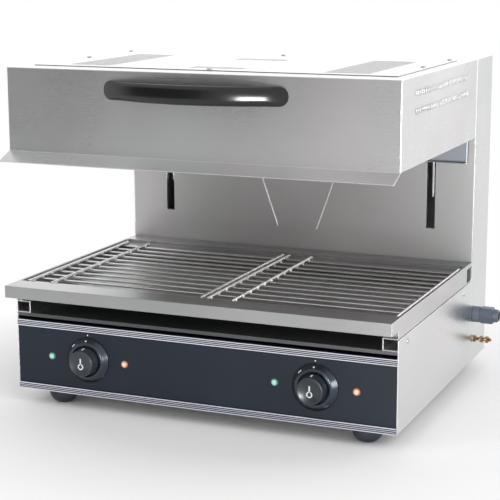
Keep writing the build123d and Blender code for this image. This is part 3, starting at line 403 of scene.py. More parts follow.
class Finish:
    """A surface finish: its material, and short ways to add nodes to it."""

    def __init__(self, name, roughness, metallic=0.0, **constants):
        self.material = bpy.data.materials.new(name)
        self.material.use_nodes = True
        self.nodes = self.material.node_tree.nodes
        self.links = self.material.node_tree.links
        self.shader = self.nodes["Principled BSDF"]
        self.shader.inputs["Metallic"].default_value = metallic
        self.shader.inputs["Roughness"].default_value = roughness
        for socket, value in constants.items():
            self.shader.inputs[socket.replace("_", " ")].default_value = value
        self.where = self.nodes.new("ShaderNodeTexCoord")

    def add(self, kind, settings=None, **inputs):
        """A node with these settings; inputs are linked where they are sockets."""
        node = self.nodes.new("ShaderNode" + kind)
        for key, value in (settings or {}).items():
            setattr(node, key, value)
        for key, value in inputs.items():
            self.feed(node, key.replace("_", " "), value)
        return node

    def feed(self, node, key, value):
        """Links a socket, or writes a value, into a node's input given by name or number."""
        socket = node.inputs[int(key[1:]) if key[0] == "n" and key[1:].isdigit() else key]
        if isinstance(value, bpy.types.NodeSocket):
            self.links.new(value, socket)
        else:
            socket.default_value = value

    def math(self, operation, first, second=0.0):
        """One step of arithmetic."""
        return self.add("Math", {"operation": operation}, n0=first, n1=second).outputs[0]

    def noise(self, vector, scale, detail=2.0, roughness=0.5):
        """A noise value of about 0.3 to 0.7."""
        return self.add("TexNoise", Vector=vector, Scale=scale, Detail=detail,
                        Roughness=roughness).outputs["Fac"]

    def between(self, value, low, high, low_out=0.0, high_out=1.0):
        """Maps a value's range to another range, held at its ends."""
        node = self.add("MapRange", n0=value, n1=low, n2=high, n3=low_out, n4=high_out)
        return node.outputs[0]

    def mixed(self, share, first, second):
        """One colour turning into another."""
        node = self.add("Mix", {"data_type": "RGBA"}, n0=share)
        self.feed(node, "n6", first if isinstance(first, bpy.types.NodeSocket) else (*first, 1))
        self.feed(node, "n7", second if isinstance(second, bpy.types.NodeSocket) else (*second, 1))
        return node.outputs[2]

    def colour(self, value):
        """Sets the finish's colour."""
        self.feed(self.shader, "Base Color", value)

    def roughness(self, value):
        """Sets the finish's roughness."""
        self.feed(self.shader, "Roughness", value)

    def relief(self, height, strength, distance, edge=0.0):
        """Gives the finish a fine relief, and soft edges of a radius."""
        bump = self.add("Bump", Height=height, Strength=strength, Distance=distance)
        if edge:
            rounded = self.add("Bevel", {"samples": 4}, Radius=edge)
            self.feed(bump, "Normal", rounded.outputs["Normal"])
        self.feed(self.shader, "Normal", bump.outputs["Normal"])


def grain_of(finish):
    """Coordinates along and across a horizontal grain: across is Z on walls and Y on level faces."""
    place = finish.add("SeparateXYZ", Vector=finish.where.outputs["Object"])
    way = finish.add("SeparateXYZ", Vector=finish.where.outputs["Normal"])
    is_level = finish.math("GREATER_THAN", finish.math("ABSOLUTE", way.outputs["Z"]), level_face)
    along = finish.math("ADD", place.outputs["X"], place.outputs["Y"])
    across = finish.add("Mix", {"data_type": "FLOAT"}, n0=is_level, n2=place.outputs["Z"],
                        n3=place.outputs["Y"]).outputs[0]
    return along, across


def brushed_steel(name, light, dark, roughness, edge=1.2 * mm, heat=0.0, cut=None, bright=0.93):
    """Brushed sheet: faint lines, slow warm and cool tints, and a painted highlight of colour bright
    along its folds and edges, or painted shade on its upright faces where cut is given.
    """
    finish = Finish(name, roughness, metallic=1.0, Anisotropic=0.7)
    stretch = finish.add("CombineXYZ", X=0.0, Y=0.01, Z=1.0)
    finish.feed(finish.shader, "Tangent", stretch.outputs[0])
    along, across = grain_of(finish)
    fine, wide = [finish.add("CombineXYZ", X=finish.math("MULTIPLY", along, cells_along),
                             Y=finish.math("MULTIPLY", across, cells_across)).outputs[0]
                  for cells_along, cells_across in (brush_lines, brush_streaks)]
    lines = finish.noise(fine, 1.0, 3.0, 0.6)
    streaks = finish.noise(wide, 1.0, 2.0)
    blotches = finish.noise(finish.where.outputs["Object"], 5.0, 3.0)
    shade = finish.math("ADD", finish.math("MULTIPLY", streaks, 0.06),
                        finish.math("MULTIPLY", blotches, 0.94))
    colour = finish.mixed(finish.between(shade, 0.3, 0.7), dark, light)
    slow = finish.add("Mapping", Vector=finish.where.outputs["Object"], Scale=(6, 6, 1.2))
    hue = finish.noise(slow.outputs[0], 1.0, 1.0)
    cool = finish.mixed(tint_share, colour, cool_tint)
    colour = finish.mixed(finish.between(hue, 0.35, 0.65), cool,
                          finish.mixed(tint_share, colour, warm_tint))
    # Painted shade: where cut is given, every upright face takes the dark cut colour, shading the
    # vents' walls and drawing the cover's cut edges as dark lines.
    if cut:
        way = finish.add("SeparateXYZ", Vector=finish.where.outputs["Normal"])
        upright = finish.math("LESS_THAN", finish.math("ABSOLUTE", way.outputs["Z"]), level_face)
        colour = finish.mixed(upright, colour, cut)
    else:
        # Painted highlight: the colour turns to bright where the rounded normal leaves the flat one,
        # along every fold and edge.
        rounded = finish.add("Bevel", {"samples": 4}, Radius=edge)
        turn = finish.add("VectorMath", {"operation": "DOT_PRODUCT"}, n0=rounded.outputs["Normal"],
                          n1=finish.where.outputs["Normal"])
        painted_edge_highlight = finish.between(turn.outputs["Value"], 0.985, 0.8)
        colour = finish.mixed(painted_edge_highlight, colour, (bright, bright, bright + 0.02))
    if heat:
        warmth = finish.noise(finish.where.outputs["Object"], 9.0, 4.0)
        colour = finish.mixed(finish.between(warmth, 0.45, 0.75, 0.0, heat), colour,
                              tone(176, 148, 108))
    finish.colour(colour)
    finish.roughness(finish.between(finish.math("ADD", finish.math("MULTIPLY", lines, 0.25),
                                                finish.math("MULTIPLY", blotches, 0.75)),
                                    0.3, 0.7, roughness - 0.03, roughness + 0.05))
    finish.relief(lines, 0.012, 0.04 * mm, edge)
    return finish.material


def fluted_metal(name, ridge, groove_shade):
    """Polished ridges with painted shade in the grooves between them, told apart by how far back
    they lie.
    """
    finish = Finish(name, 0.14, metallic=1.0)
    depth = finish.add("SeparateXYZ", Vector=finish.where.outputs["Object"]).outputs["Y"]
    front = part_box("trim_upper")[0].y
    # Painted shade: the colour darkens to the groove colour where the surface lies further back.
    finish.colour(finish.mixed(finish.between(depth, front + 0.15 * mm, front + 0.7 * mm),
                               ridge, groove_shade))
    return finish.material


def plain_metal(name, light, dark, roughness, scale, edge=0.0):
    """Machined or drawn metal with a faint cloudy tone."""
    finish = Finish(name, roughness, metallic=1.0)
    clouds = finish.noise(finish.where.outputs["Object"], scale, 4.0)
    fine = finish.noise(finish.where.outputs["Object"], scale * 14, 2.0)
    finish.colour(finish.mixed(finish.between(clouds, 0.35, 0.65), dark, light))
    finish.roughness(finish.between(fine, 0.3, 0.7, roughness - 0.05, roughness + 0.07))
    finish.relief(fine, 0.1, 0.05 * mm, edge)
    return finish.material


def moulded(name, light, dark, roughness, grain, relief, edge=0.0, **constants):
    """Moulded plastic, rubber or paint with a fine skin."""
    finish = Finish(name, roughness, **constants)
    skin = finish.noise(finish.where.outputs["Object"], grain, 3.0, 0.6)
    clouds = finish.noise(finish.where.outputs["Object"], 14.0, 3.0)
    finish.colour(finish.mixed(finish.between(clouds, 0.32, 0.68), dark, light))
    finish.roughness(finish.between(clouds, 0.3, 0.7, roughness - 0.04, roughness + 0.05))
    finish.relief(skin, relief, 0.05 * mm, edge)
    return finish.material


def lamp_lens(name, deep, bright):
    """Coloured glossy plastic with facets, darker towards its rim and glowing faintly."""
    finish = Finish(name, 0.12, Coat_Weight=0.6, Coat_Roughness=0.05, IOR=1.5,
                    Emission_Strength=0.35)
    facets = finish.add("TexVoronoi", {"feature": "F1"}, Vector=finish.where.outputs["Object"],
                        Scale=420.0).outputs["Distance"]
    depth = finish.add("SeparateXYZ", Vector=finish.where.outputs["Object"]).outputs["Y"]
    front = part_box("lamp_lenses_green")[0].y
    ring = finish.between(depth, front + 0.1 * mm, front + 1.4 * mm)
    shade = finish.math("ADD", ring, finish.math("MULTIPLY", facets, 0.5))
    colour = finish.mixed(finish.between(shade, 0.1, 0.9), bright, deep)
    finish.colour(colour)
    finish.feed(finish.shader, "Emission Color", colour)
    finish.relief(facets, 0.5, 0.4 * mm)
    return finish.material


def wool_board(name):
    """Pressed mineral wool."""
    finish = Finish(name, 0.95)
    tufts = finish.noise(finish.where.outputs["Object"], 320.0, 6.0, 0.7)
    finish.colour(finish.mixed(finish.between(tufts, 0.35, 0.65), tone(196, 186, 152),
                               tone(226, 220, 196)))
    finish.relief(tufts, 0.9, 0.8 * mm)
    return finish.material


casing_steel = brushed_steel("casing_steel", (0.64, 0.64, 0.645), (0.575, 0.572, 0.578), 0.27)
# The top cover's cut colour is painted shade on the walls of its vents and along its cut edges.
cover_steel = brushed_steel("cover_steel", (0.7, 0.7, 0.705), (0.66, 0.66, 0.665), 0.3,
                            cut=(0.1, 0.1, 0.11))
column_steel = brushed_steel("column_steel", (0.68, 0.67, 0.67), (0.63, 0.62, 0.62), 0.5,
                             edge=0.4 * mm, bright=0.8)
rear_plate_steel = brushed_steel("rear_plate_steel", (0.5, 0.54, 0.6), (0.45, 0.49, 0.55), 0.3)
# The deck's near-black colour is painted shade, for the shaded gap under the tray; its bright value
# is a painted highlight along its edges.
deck_steel_painted_shade = brushed_steel("deck_steel_painted_shade", (0.1, 0.105, 0.11), (0.075, 0.08, 0.085), 0.45,
                           edge=0.6 * mm, bright=0.5)
tray_steel = brushed_steel("tray_steel", (0.5, 0.5, 0.505), (0.4, 0.4, 0.405), 0.36, edge=0.8 * mm)
reflector_steel = brushed_steel("reflector_steel", (0.64, 0.61, 0.57), (0.5, 0.47, 0.43), 0.3,
                                heat=0.6)
panel_paint = moulded("panel_paint", tone(20, 31, 46), tone(18, 28, 42), 0.42, 900.0, 0.06,
                      edge=0.8 * mm, Specular_IOR_Level=0.35)
# The trims' dark groove colour is painted shade.
trim_aluminium = fluted_metal("trim_aluminium", (0.92, 0.92, 1.0), (0.12, 0.13, 0.18))
screw_steel = plain_metal("screw_steel", (0.58, 0.58, 0.6), (0.46, 0.46, 0.48), 0.3, 90.0)
foot_rubber = moulded("foot_rubber", tone(52, 58, 70), tone(38, 43, 53), 0.6, 1500.0, 0.3)
bezel_finish = moulded("bezel_finish", (0.06, 0.07, 0.085), (0.05, 0.06, 0.072), 0.22, 1200.0, 0.03,
                       metallic=0.8)
knob_plastic = moulded("knob_plastic", tone(46, 53, 62), tone(38, 44, 52), 0.34, 1300.0, 0.12,
                       Coat_Weight=0.15, Coat_Roughness=0.2)
machined_steel = plain_metal("machined_steel", (0.6, 0.6, 0.61), (0.5, 0.5, 0.52), 0.28, 60.0,
                             edge=0.5 * mm)
spring_steel = plain_metal("spring_steel", (0.52, 0.52, 0.55), (0.4, 0.4, 0.43), 0.32, 120.0)
control_body = moulded("control_body", tone(232, 228, 216), tone(218, 212, 198), 0.45, 700.0, 0.2,
                       edge=0.8 * mm)
lens_green = lamp_lens("lens_green", tone(60, 122, 106), tone(176, 222, 206))
lens_amber = lamp_lens("lens_amber", tone(168, 104, 78), tone(244, 208, 184))
ceramic = moulded("ceramic", tone(236, 232, 222), tone(222, 216, 204), 0.7, 900.0, 0.35)
rack_chrome = plain_metal("rack_chrome", (0.8, 0.8, 0.8), (0.7, 0.69, 0.68), 0.32, 40.0)
gland_plastic = moulded("gland_plastic", tone(96, 106, 120), tone(78, 87, 100), 0.42, 1100.0, 0.2)
gland_seal = moulded("gland_seal", tone(40, 42, 46), tone(30, 32, 36), 0.7, 900.0, 0.4)
brass = plain_metal("brass", tone(176, 144, 100), tone(138, 108, 70), 0.3, 140.0)
wool = wool_board("wool")
element_sheath = moulded("element_sheath", tone(112, 106, 102), tone(78, 72, 70), 0.5, 600.0, 0.5,
                         metallic=0.7)
handle_plastic = moulded("handle_plastic", tone(15, 16, 19), tone(13, 14, 17), 0.14, 60.0, 0.02)
mark_white = moulded("mark_white", tone(238, 240, 242), tone(226, 229, 232), 0.5, 900.0, 0.1)


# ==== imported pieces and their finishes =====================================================
WORN_BY = (
    (casing_steel, "column_cap", "column_shelf", "column_side_left", "column_side_right",
     "floor_pan", "hood_shell", "rail_left", "rail_right", "rear_cover", "side_panel_left",
     "side_panel_right"),
    (column_steel, "back_panel"),
    (cover_steel, "top_cover"),
    (rear_plate_steel, "hood_rear_plate"),
    (deck_steel_painted_shade, "deck"),
    (tray_steel, "grill_tray"),
    (reflector_steel, "reflector"),
    (panel_paint, "control_panel"),
    (trim_aluminium, "trim_lower", "trim_upper"),
    (screw_steel, "handle_screws", "cover_screws", "rail_screws", "rear_screws"),
    (foot_rubber, "feet"),
    (bezel_finish, "knob_bezels"),
    (knob_plastic, "knob_left", "knob_right"),
    (machined_steel, "carriage_left", "carriage_right", "carriage_tie", "guide_rods",
     "lift_arm_left", "lift_arm_right", "rod_collars", "shaft_left", "shaft_right",
     "spring_anchors"),
    (spring_steel, "counter_spring_left", "counter_spring_right"),
    (control_body, "lamp_bodies", "thermostats"),
    (lens_green, "lamp_lenses_green"),
    (lens_amber, "lamp_lenses_amber"),
    (ceramic, "element_insulators", "terminal_block"),
    (rack_chrome, "rack_left", "rack_right"),
    (gland_plastic, "cable_gland", "gland_locknut"),
    (brass, "carriage_bushes", "bonding_stud", "bonding_nuts"),
    (wool, "insulation"),
    (element_sheath, "heating_element_left", "heating_element_right", "element_supports"),
    (handle_plastic, "handle"),
)


def dress_packed_pieces():
    """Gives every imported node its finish."""
    for finish, *names in WORN_BY:
        for name in names:
            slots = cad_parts[name].data.materials
            slots.clear()
            slots.append(finish)


# ==== new pieces ===========================================================================
def make_handle():
    """The bow handle: one skin from foot to foot, with a rounded grip and round ends."""
    low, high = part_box("handle")
    centre_x = (low.x + high.x) / 2
    level = (low.z + high.z) / 2
    half = (high.x - low.x) / 2
    reach = high.y - low.y
    half_height = (high.z - low.z) / 2 * handle_slimness
    root = high.y
    outer = (half ** 2 + reach ** 2) / (2 * reach)
    gap_half = half - handle_foot
    gap_reach = reach - handle_thickness
    inner = (gap_half ** 2 + gap_reach ** 2) / (2 * gap_reach)

    def station(swing):
        x = half * math.sin(swing)
        front = math.sqrt(outer ** 2 - x ** 2) - outer + reach
        back = 0.0
        if abs(x) < gap_half:
            back = math.sqrt(inner ** 2 - x ** 2) - inner + gap_reach
        from_end = half - abs(x)
        tall = half_height
        if from_end < handle_end_radius:
            tall += math.sqrt(handle_end_radius ** 2 - (handle_end_radius - from_end) ** 2)
            tall -= handle_end_radius
        back_power = handle_back_power * min(1.0, back / handle_back_blend)

        def point(turn):
            side = math.cos(turn)
            depth = softened(side, handle_front_power if side > 0 else back_power)
            lift = softened(math.sin(turn), handle_top_power)
            y = root - (front + back) / 2 - depth * (front - back) / 2
            return Vector((centre_x + x, y, level + lift * tall))
        return point

    shape = bmesh.new()
    count = 72
    rings(shape, 40, [station(math.pi * (i / count - 0.5)) for i in range(count + 1)])
    handle = finished(shape, "bow_handle", "hood", handle_plastic, crease=60)
    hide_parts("handle")


def make_knob(side):
    """A turned cap with a dished face, its pointer dash and a thermometer symbol."""
    node = f"knob_{side}"
    low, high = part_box(node)
    radius = (high.x - low.x) / 2
    depth = high.y - low.y
    base = middle((low, high), y=high.y)
    face_radius = radius - knob_draft
    side_foot = (radius - 0.25 * mm, knob_foot)
    side_top = (face_radius + 0.15 * mm, depth - 2 * mm)
    shape = bmesh.new()
    turned(shape, (
        (0, 1.0 * mm), (radius - 3 * mm, 1.0 * mm), (radius - 2.4 * mm, 0),
        (radius - 0.4 * mm, 0), (radius, 0.4 * mm), (radius, knob_foot - 0.4 * mm),
        side_foot, side_top,
        (face_radius - 0.2 * mm, depth - 0.8 * mm), (face_radius - 0.8 * mm, depth - 0.15 * mm),
        (face_radius - 1.4 * mm, depth), (face_radius - knob_rim - 0.6 * mm, depth),
        (face_radius - knob_rim - 1.2 * mm, depth - knob_dish), (0, depth - knob_dish)),
        base, FRONT, 72)
    cap = finished(shape, f"knob_cap_{side}", f"{side}_knob", knob_plastic)
    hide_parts(node)

    marks = bmesh.new()
    face = facing(base + FRONT * (depth - knob_dish), FRONT)
    for loop in symbol_outline(symbol_bulb_radius, symbol_stem, symbol_line):
        flat_shape(marks, loop, mark_height, face)
    fall = (side_foot[0] - side_top[0]) / (side_top[1] - side_foot[1])
    dash_radius = side_foot[0] - fall * (dash_from_panel_side - side_foot[1])
    leaning = (UP + FRONT * fall).normalized()
    place = base + FRONT * dash_from_panel_side + UP * (dash_radius - dash_sink)
    flat_shape(marks, bar(dash_length, dash_width, math.pi / 2), mark_height,
               facing(place, leaning, FRONT))
    finished(marks, f"knob_marks_{side}", f"{side}_knob", mark_white)


def symbol_outline(bulb, stem, line, steps=20):
    """A thermometer's outlines: a ring of four-sided plates for its bulb, and a bar for its stem."""
    loops = []
    for i in range(steps):
        ends = [2 * math.pi * (i + k) / steps for k in (0, 1)]
        loops.append([(r * math.cos(a), r * math.sin(a) - bulb)
                      for r, a in ((bulb, ends[0]), (bulb, ends[1]),
                                   (bulb - line, ends[1]), (bulb - line, ends[0]))])
    loops.append(bar(stem, line * 1.25, math.pi / 2, 0, stem / 2 - line))
    return loops


def make_bezels():
    """The two turned bezels round the knobs, with their printed marks."""
    shape = bmesh.new()
    marks = bmesh.new()
    for low, high in solids("knob_bezels"):
        radius = (high.x - low.x) / 2
        height = high.y - low.y
        base = middle((low, high), y=high.y)
        rim_outer = radius - bezel_rim_outside
        rim_inner = radius - bezel_rim_inside
        turned(shape, (
            (rim_inner, 0), (radius - 0.2 * mm, 0), (radius, 0.3 * mm), (radius, 1.2 * mm),
            (radius - 0.3 * mm, 1.6 * mm), (radius - 2.2 * mm, 3.6 * mm),
            (rim_outer + 1.3 * mm, height - 1.6 * mm), (rim_outer + 0.4 * mm, height - 0.5 * mm),
            (rim_outer - 0.4 * mm, height - 0.08 * mm), (rim_outer - 1.0 * mm, height),
            (rim_inner + 0.8 * mm, height), (rim_inner + 0.2 * mm, height - 0.2 * mm),
            (rim_inner, height - 0.8 * mm), (rim_inner, 0)), base, FRONT, 96)
        dash = bar(dash_length * bezel_dash_share, dash_width * bezel_dash_share)
        marked = ((bezel_dash_turn, dash), (0, disc(dot_radius, 20)))
        for turn, outline in marked:
            radial = UP * math.cos(turn) + LEFT * math.sin(turn)
            tilt = (radial * bezel_slope_rise + FRONT * bezel_slope_run).normalized()
            spot = base + radial * (radius - bezel_mark_inset) + FRONT * bezel_mark_level
            flat_shape(marks, outline, mark_height * 2,
                       facing(spot - tilt * bezel_mark_sink, tilt, radial))
    bezels = finished(shape, "bezel_rings", "chassis", bezel_finish)
    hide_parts("knob_bezels")
    finished(marks, "bezel_marks", "chassis", mark_white)


def make_panel_dots():
    """A small printed dot on the panel above each knob."""
    panel_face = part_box("control_panel")[0].y
    marks = bmesh.new()
    for low, high in solids("knob_bezels"):
        place = middle((low, high), y=panel_face, z=high.z + panel_dot_rise)
        flat_shape(marks, disc(panel_dot_radius, 20), mark_height, facing(place, FRONT))
    finished(marks, "panel_dots", "chassis", mark_white)


def make_lamps(colour, finish):
    """Domed lenses with a stepped rim."""
    shape = bmesh.new()
    node = f"lamp_lenses_{colour}"
    for low, high in solids(node):
        radius = (high.x - low.x) / 2
        height = high.y - low.y
        base = middle((low, high), y=high.y)
        turned(shape, (
            (0, 0), (radius, 0), (radius, 0.5 * mm), (radius - 0.25 * mm, 0.8 * mm),
            (radius - 1.0 * mm, 0.9 * mm), (radius - 1.2 * mm, height * 0.62),
            (radius - 1.9 * mm, height * 0.84), (radius - 3.2 * mm, height * 0.96), (0, height)),
            base, FRONT, 36)
    lenses = finished(shape, f"lens_domes_{colour}", "chassis", finish)
    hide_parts(node)


def make_screws():
    """Screw heads with a recess: crosses on the covers, slots on the rails' flat heads."""
    groups = (("cover_screws", "hood", UP, "cross"), ("rear_screws", "chassis", BACK, "cross"),
              ("rail_screws", "chassis", None, "slot"))
    deck_middle = middle(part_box("deck"))
    for node, body, outward, recess in groups:
        shape = bmesh.new()
        for count, (low, high) in enumerate(solids(node)):
            side = RIGHT if middle((low, high)).x > deck_middle.x else LEFT
            way = outward or side
            wide = [s for s, a in zip(high - low, way) if not a]
            radius = wide[0] / 2
            seat, height = head_of(node, way, low, high)
            screw_head(shape, seat, way, radius, height, recess, turn=0.5 + count * 1.1)
            turned(shape, ((0, -shank_length), (shank_radius, -shank_length),
                           (shank_radius, shank_overlap), (0, shank_overlap)), seat, way, 16)
        screws = finished(shape, f"{node[:-1]}_heads", body, screw_steel)
        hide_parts(node)


def head_of(node, way, low, high):
    """Where a screw's head sits on its sheet, and how high it stands."""
    sheet_node = {"cover_screws": "top_cover", "rear_screws": "rear_cover",
                  "rail_screws": "side_panel_right"}[node]
    sheet_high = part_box(sheet_node)[1]
    seat = middle((low, high))
    axis = [abs(a) for a in way].index(1)
    if node == "rail_screws" and way.x < 0:
        seat.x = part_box("side_panel_left")[0].x
        return seat, seat.x - low.x
    seat[axis] = sheet_high[axis]
    return seat, high[axis] - seat[axis]


def make_feet():
    """Moulded rubber feet with a washer and screw sunk in the underside."""
    shape = bmesh.new()
    screws = bmesh.new()
    for low, high in solids("feet"):
        radius = (high.x - low.x) / 2
        tall = high.z - low.z
        base = middle((low, high), z=high.z)
        rim = Vector((radius, foot_bowl_start))
        chord = Vector((foot_tread_radius, tall)) - rim
        out = Vector((chord.y, -chord.x)).normalized()
        bowl = [rim + chord * t + out * foot_bulge * 4 * t * (1 - t)
                for t in (i / foot_bowl_steps for i in range(foot_bowl_steps + 1))]
        pocket = tall - foot_pocket_depth
        seat = pocket + foot_washer_thickness
        turned(shape, (
            (0, 0), (radius, 0), *[(min(point.x, radius), point.y) for point in bowl],
            (foot_pocket_radius, tall), (foot_pocket_radius - 0.5 * mm, tall - 0.4 * mm),
            (foot_pocket_radius - 0.9 * mm, pocket), (0, pocket)), base, DOWN, 56)
        turned(screws, ((0, pocket), (foot_washer_radius, pocket), (foot_washer_radius, seat),
                        (0, seat)), base, DOWN, 32)
        screw_head(screws, base + DOWN * seat, DOWN, foot_screw_radius, foot_screw_height, "cross")
    feet = finished(shape, "rubber_feet", "chassis", foot_rubber)
    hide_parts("feet")
    finished(screws, "foot_screws", "chassis", screw_steel)


def make_gland():
    """The cable gland: ribbed base, hexagon body, domed nut and rubber seal."""
    low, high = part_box("cable_gland")
    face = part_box("side_panel_right")[1].x
    start = middle((low, high), x=face)
    root = low.x - face
    reach = high.x - face
    shape = bmesh.new()
    fit = facing(start, RIGHT)

    def ribbed(radius, depth, along, count=30):
        return lambda turn: on_ring(
            fit, turn, radius - depth * (0.5 + 0.5 * math.cos(count * turn)), along)

    def hexed(along, cut):
        return lambda turn: on_ring(
            fit, turn, min(hexagon(turn, gland_across), gland_across / 2 * cut), along)

    def plain(radius, along):
        return lambda turn: on_ring(fit, turn, radius, along)

    rings(shape, 120, [
        plain(gland_bore, root), plain(gland_neck, root), plain(gland_neck, 0),
        plain(gland_flange - 0.4 * mm, 0), plain(gland_flange, 0.4 * mm),
        plain(gland_flange, 2.0 * mm), ribbed(gland_ribbed, 0.5 * mm, 2.4 * mm),
        ribbed(gland_ribbed, 0.5 * mm, 11.2 * mm), plain(12.0 * mm, 11.8 * mm),
        plain(11.6 * mm, 12.2 * mm), hexed(12.6 * mm, 1.01), hexed(13.6 * mm, hexagon_corner),
        hexed(31.6 * mm, hexagon_corner), hexed(32.8 * mm, 1.0), plain(11.2 * mm, 33 * mm),
        plain(gland_nut, 33.4 * mm), ribbed(gland_nut, 0.4 * mm, 34.2 * mm, 20),
        ribbed(gland_nut, 0.4 * mm, 38.4 * mm, 20), plain(9.9 * mm, 39.6 * mm),
        plain(8.9 * mm, 40.9 * mm), plain(7.8 * mm, reach), plain(7.1 * mm, reach - 0.3 * mm),
        plain(6.9 * mm, reach - 2 * mm), plain(gland_bore, reach - 2 * mm),
        plain(gland_bore, root)])
    gland = finished(shape, "gland_body", "chassis", gland_plastic, crease=30)
    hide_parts("cable_gland")
    seal = bmesh.new()
    turned(seal, ((seal_bore, reach - seal_depth), (seal_radius, reach - seal_depth),
                  (seal_radius, reach - 1.4 * mm), (seal_radius - 0.4 * mm, reach - 0.9 * mm),
                  (seal_bore + 0.4 * mm, reach - 0.9 * mm), (seal_bore, reach - 1.4 * mm),
                  (seal_bore, reach - seal_depth)), start, RIGHT, 40)
    finished(seal, "gland_seal", "chassis", gland_seal)


def make_bonding_point():
    """The threaded bonding stud, its three nuts and their washers."""
    low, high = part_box("bonding_stud")
    start = middle((low, high), x=low.x)
    length = high.x - low.x
    radius = (high.z - low.z) / 2
    shape = bmesh.new()
    turns = int(length / stud_pitch) - 2
    thread(shape, start + RIGHT * stud_pitch, RIGHT, radius, stud_pitch, turns)
    turned(shape, ((0, 0), (radius - 0.8 * mm, 0), (radius - 0.5 * mm, 1.2 * stud_pitch),
                   (radius - 0.52 * mm, length - 1.2 * stud_pitch), (radius - 0.9 * mm, length),
                   (0, length)), start, RIGHT, 24)
    stud = finished(shape, "threaded_stud", "chassis", brass)
    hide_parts("bonding_stud")
    nuts = bmesh.new()
    washers = bmesh.new()
    washer_face = washer_radius - 0.1 * mm
    for nut_low, nut_high in solids("bonding_nuts"):
        height = nut_high.x - nut_low.x
        seat = Vector((nut_low.x, start.y, start.z))
        hex_nut(nuts, seat + RIGHT * washer_thickness, RIGHT, nut_across,
                height - washer_thickness, radius - thread_overlap)
        turned(washers, ((radius, 0), (washer_face, 0), (washer_radius, washer_edge),
                         (washer_radius, washer_thickness - washer_edge),
                         (washer_face, washer_thickness), (radius, washer_thickness),
                         (radius, 0)), seat, RIGHT, 32)
    nuts_piece = finished(nuts, "brass_nuts", "chassis", brass, crease=25)
    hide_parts("bonding_nuts")
    finished(washers, "stud_washers", "chassis", machined_steel)


def make_rack_welds():
    """A weld bead at every crossing of a rack's rods and bars."""
    for side in ("left", "right"):
        low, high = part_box(f"rack_{side}")
        shape = bmesh.new()
        first = low.y + rack_overrun
        step = (high.y - rack_overrun - first) / (rack_bar_count - 1)
        rods = (low.x + rack_rod_radius, low.x + rack_rod_radius + rack_second_rod,
                high.x - rack_rod_radius)
        level = high.z - weld_radius - weld_inset
        for x in rods:
            for i in range(rack_bar_count):
                place = Matrix.Translation((x, first + i * step, level))
                bead = bmesh.ops.create_icosphere(shape, subdivisions=2, radius=weld_radius)
                bmesh.ops.transform(shape, matrix=place @ Matrix.Diagonal((*weld_stretch, 1)),
                                    verts=bead["verts"])
        finished(shape, f"rack_welds_{side}", f"{side}_rack", rack_chrome, crease=80)


# ==== studio ===============================================================================
def make_camera():
    """The camera at the photograph's viewing angle."""
    camera = bpy.data.objects.new("camera", bpy.data.cameras.new("camera"))
    bpy.context.scene.collection.objects.link(camera)
    camera.data.lens = camera_lens
    camera.data.sensor_width = camera_sensor
    camera.data.clip_end = camera_reach
    turn = Matrix.Rotation(camera_turn, 4, "Z") @ Matrix.Rotation(math.pi / 2 - camera_dip, 4, "X")
    camera.matrix_world = (Matrix.Translation(camera_place) @ turn
                           @ Matrix.Rotation(camera_roll, 4, "Z"))
    bpy.context.scene.camera = camera


def make_world():
    """A white surround for what is seen directly or mirrored, and a softer light from it."""
    world = bpy.data.worlds.new("surround")
    world.use_nodes = True
    bpy.context.scene.world = world
    nodes = world.node_tree.nodes
    links = world.node_tree.links
    seen = nodes["Background"]
    seen.inputs["Color"].default_value = (1, 1, 1, 1)
    seen.inputs["Strength"].default_value = 1.0
    light = nodes.new("ShaderNodeBackground")
    light.inputs["Color"].default_value = (1, 1, 1, 1)
    light.inputs["Strength"].default_value = ambient
    share = background_share(nodes, links)
    mix = nodes.new("ShaderNodeMixShader")
    links.new(share, mix.inputs[0])
    links.new(light.outputs[0], mix.inputs[1])
    links.new(seen.outputs[0], mix.inputs[2])
    links.new(mix.outputs[0], nodes["World Output"].inputs["Surface"])


def background_share(nodes, links):
    """1 for a ray that sees or mirrors the background, and 0 for one that only lights."""
    path = nodes.new("ShaderNodeLightPath")
    total = path.outputs["Is Camera Ray"]
    for ray in ("Is Glossy Ray", "Is Transmission Ray"):
        step = nodes.new("ShaderNodeMath")
        step.operation = "MAXIMUM"
        links.new(total, step.inputs[0])
        links.new(path.outputs[ray], step.inputs[1])
        total = step.outputs[0]
    return total


def make_floor():
    """A pale floor that keeps the machine's shadow and fades into the white surround."""
    shape = bmesh.new()
    bmesh.ops.create_circle(shape, radius=floor_radius, segments=96, cap_ends=True)
    mesh = bpy.data.meshes.new("studio_floor")
    shape.to_mesh(mesh)
    shape.free()
    floor = bpy.data.objects.new("studio_floor", mesh)
    bpy.context.scene.collection.objects.link(floor)
    finish = Finish("studio_floor", 0.8)
    grain = finish.noise(finish.where.outputs["Object"], 60.0)
    finish.colour(finish.mixed(grain, (0.93, 0.93, 0.93), (0.95, 0.95, 0.95)))
    flat = finish.add("VectorMath", {"operation": "LENGTH"}, n0=finish.where.outputs["Object"])
    far = finish.between(flat.outputs["Value"], floor_fade_start, floor_fade_end)
    white = finish.add("Emission", Color=(1, 1, 1, 1), Strength=1.0)
    share = finish.math("MULTIPLY", far, background_share(finish.nodes, finish.links))
    mix = finish.add("MixShader", n0=share)
    finish.links.new(finish.shader.outputs[0], mix.inputs[1])
    finish.links.new(white.outputs[0], mix.inputs[2])
    finish.links.new(mix.outputs[0], finish.nodes["Material Output"].inputs["Surface"])
    mesh.materials.append(finish.material)


def area_lamp(name, place, aim, width, height, power, mirrored=True, lights=True):
    """A soft lamp that looks at a point, kept out of reflections or left to them alone."""
    data = bpy.data.lights.new(name, "AREA")
    data.shape = "RECTANGLE"
    data.size = width
    data.size_y = height
    data.energy = power
    lamp = bpy.data.objects.new(name, data)
    bpy.context.scene.collection.objects.link(lamp)
    lamp.location = place
    lamp.rotation_euler = (Vector(aim) - Vector(place)).to_track_quat("-Z", "Y").to_euler()
    lamp.visible_camera = False
    lamp.visible_glossy = mirrored
    lamp.visible_diffuse = lights


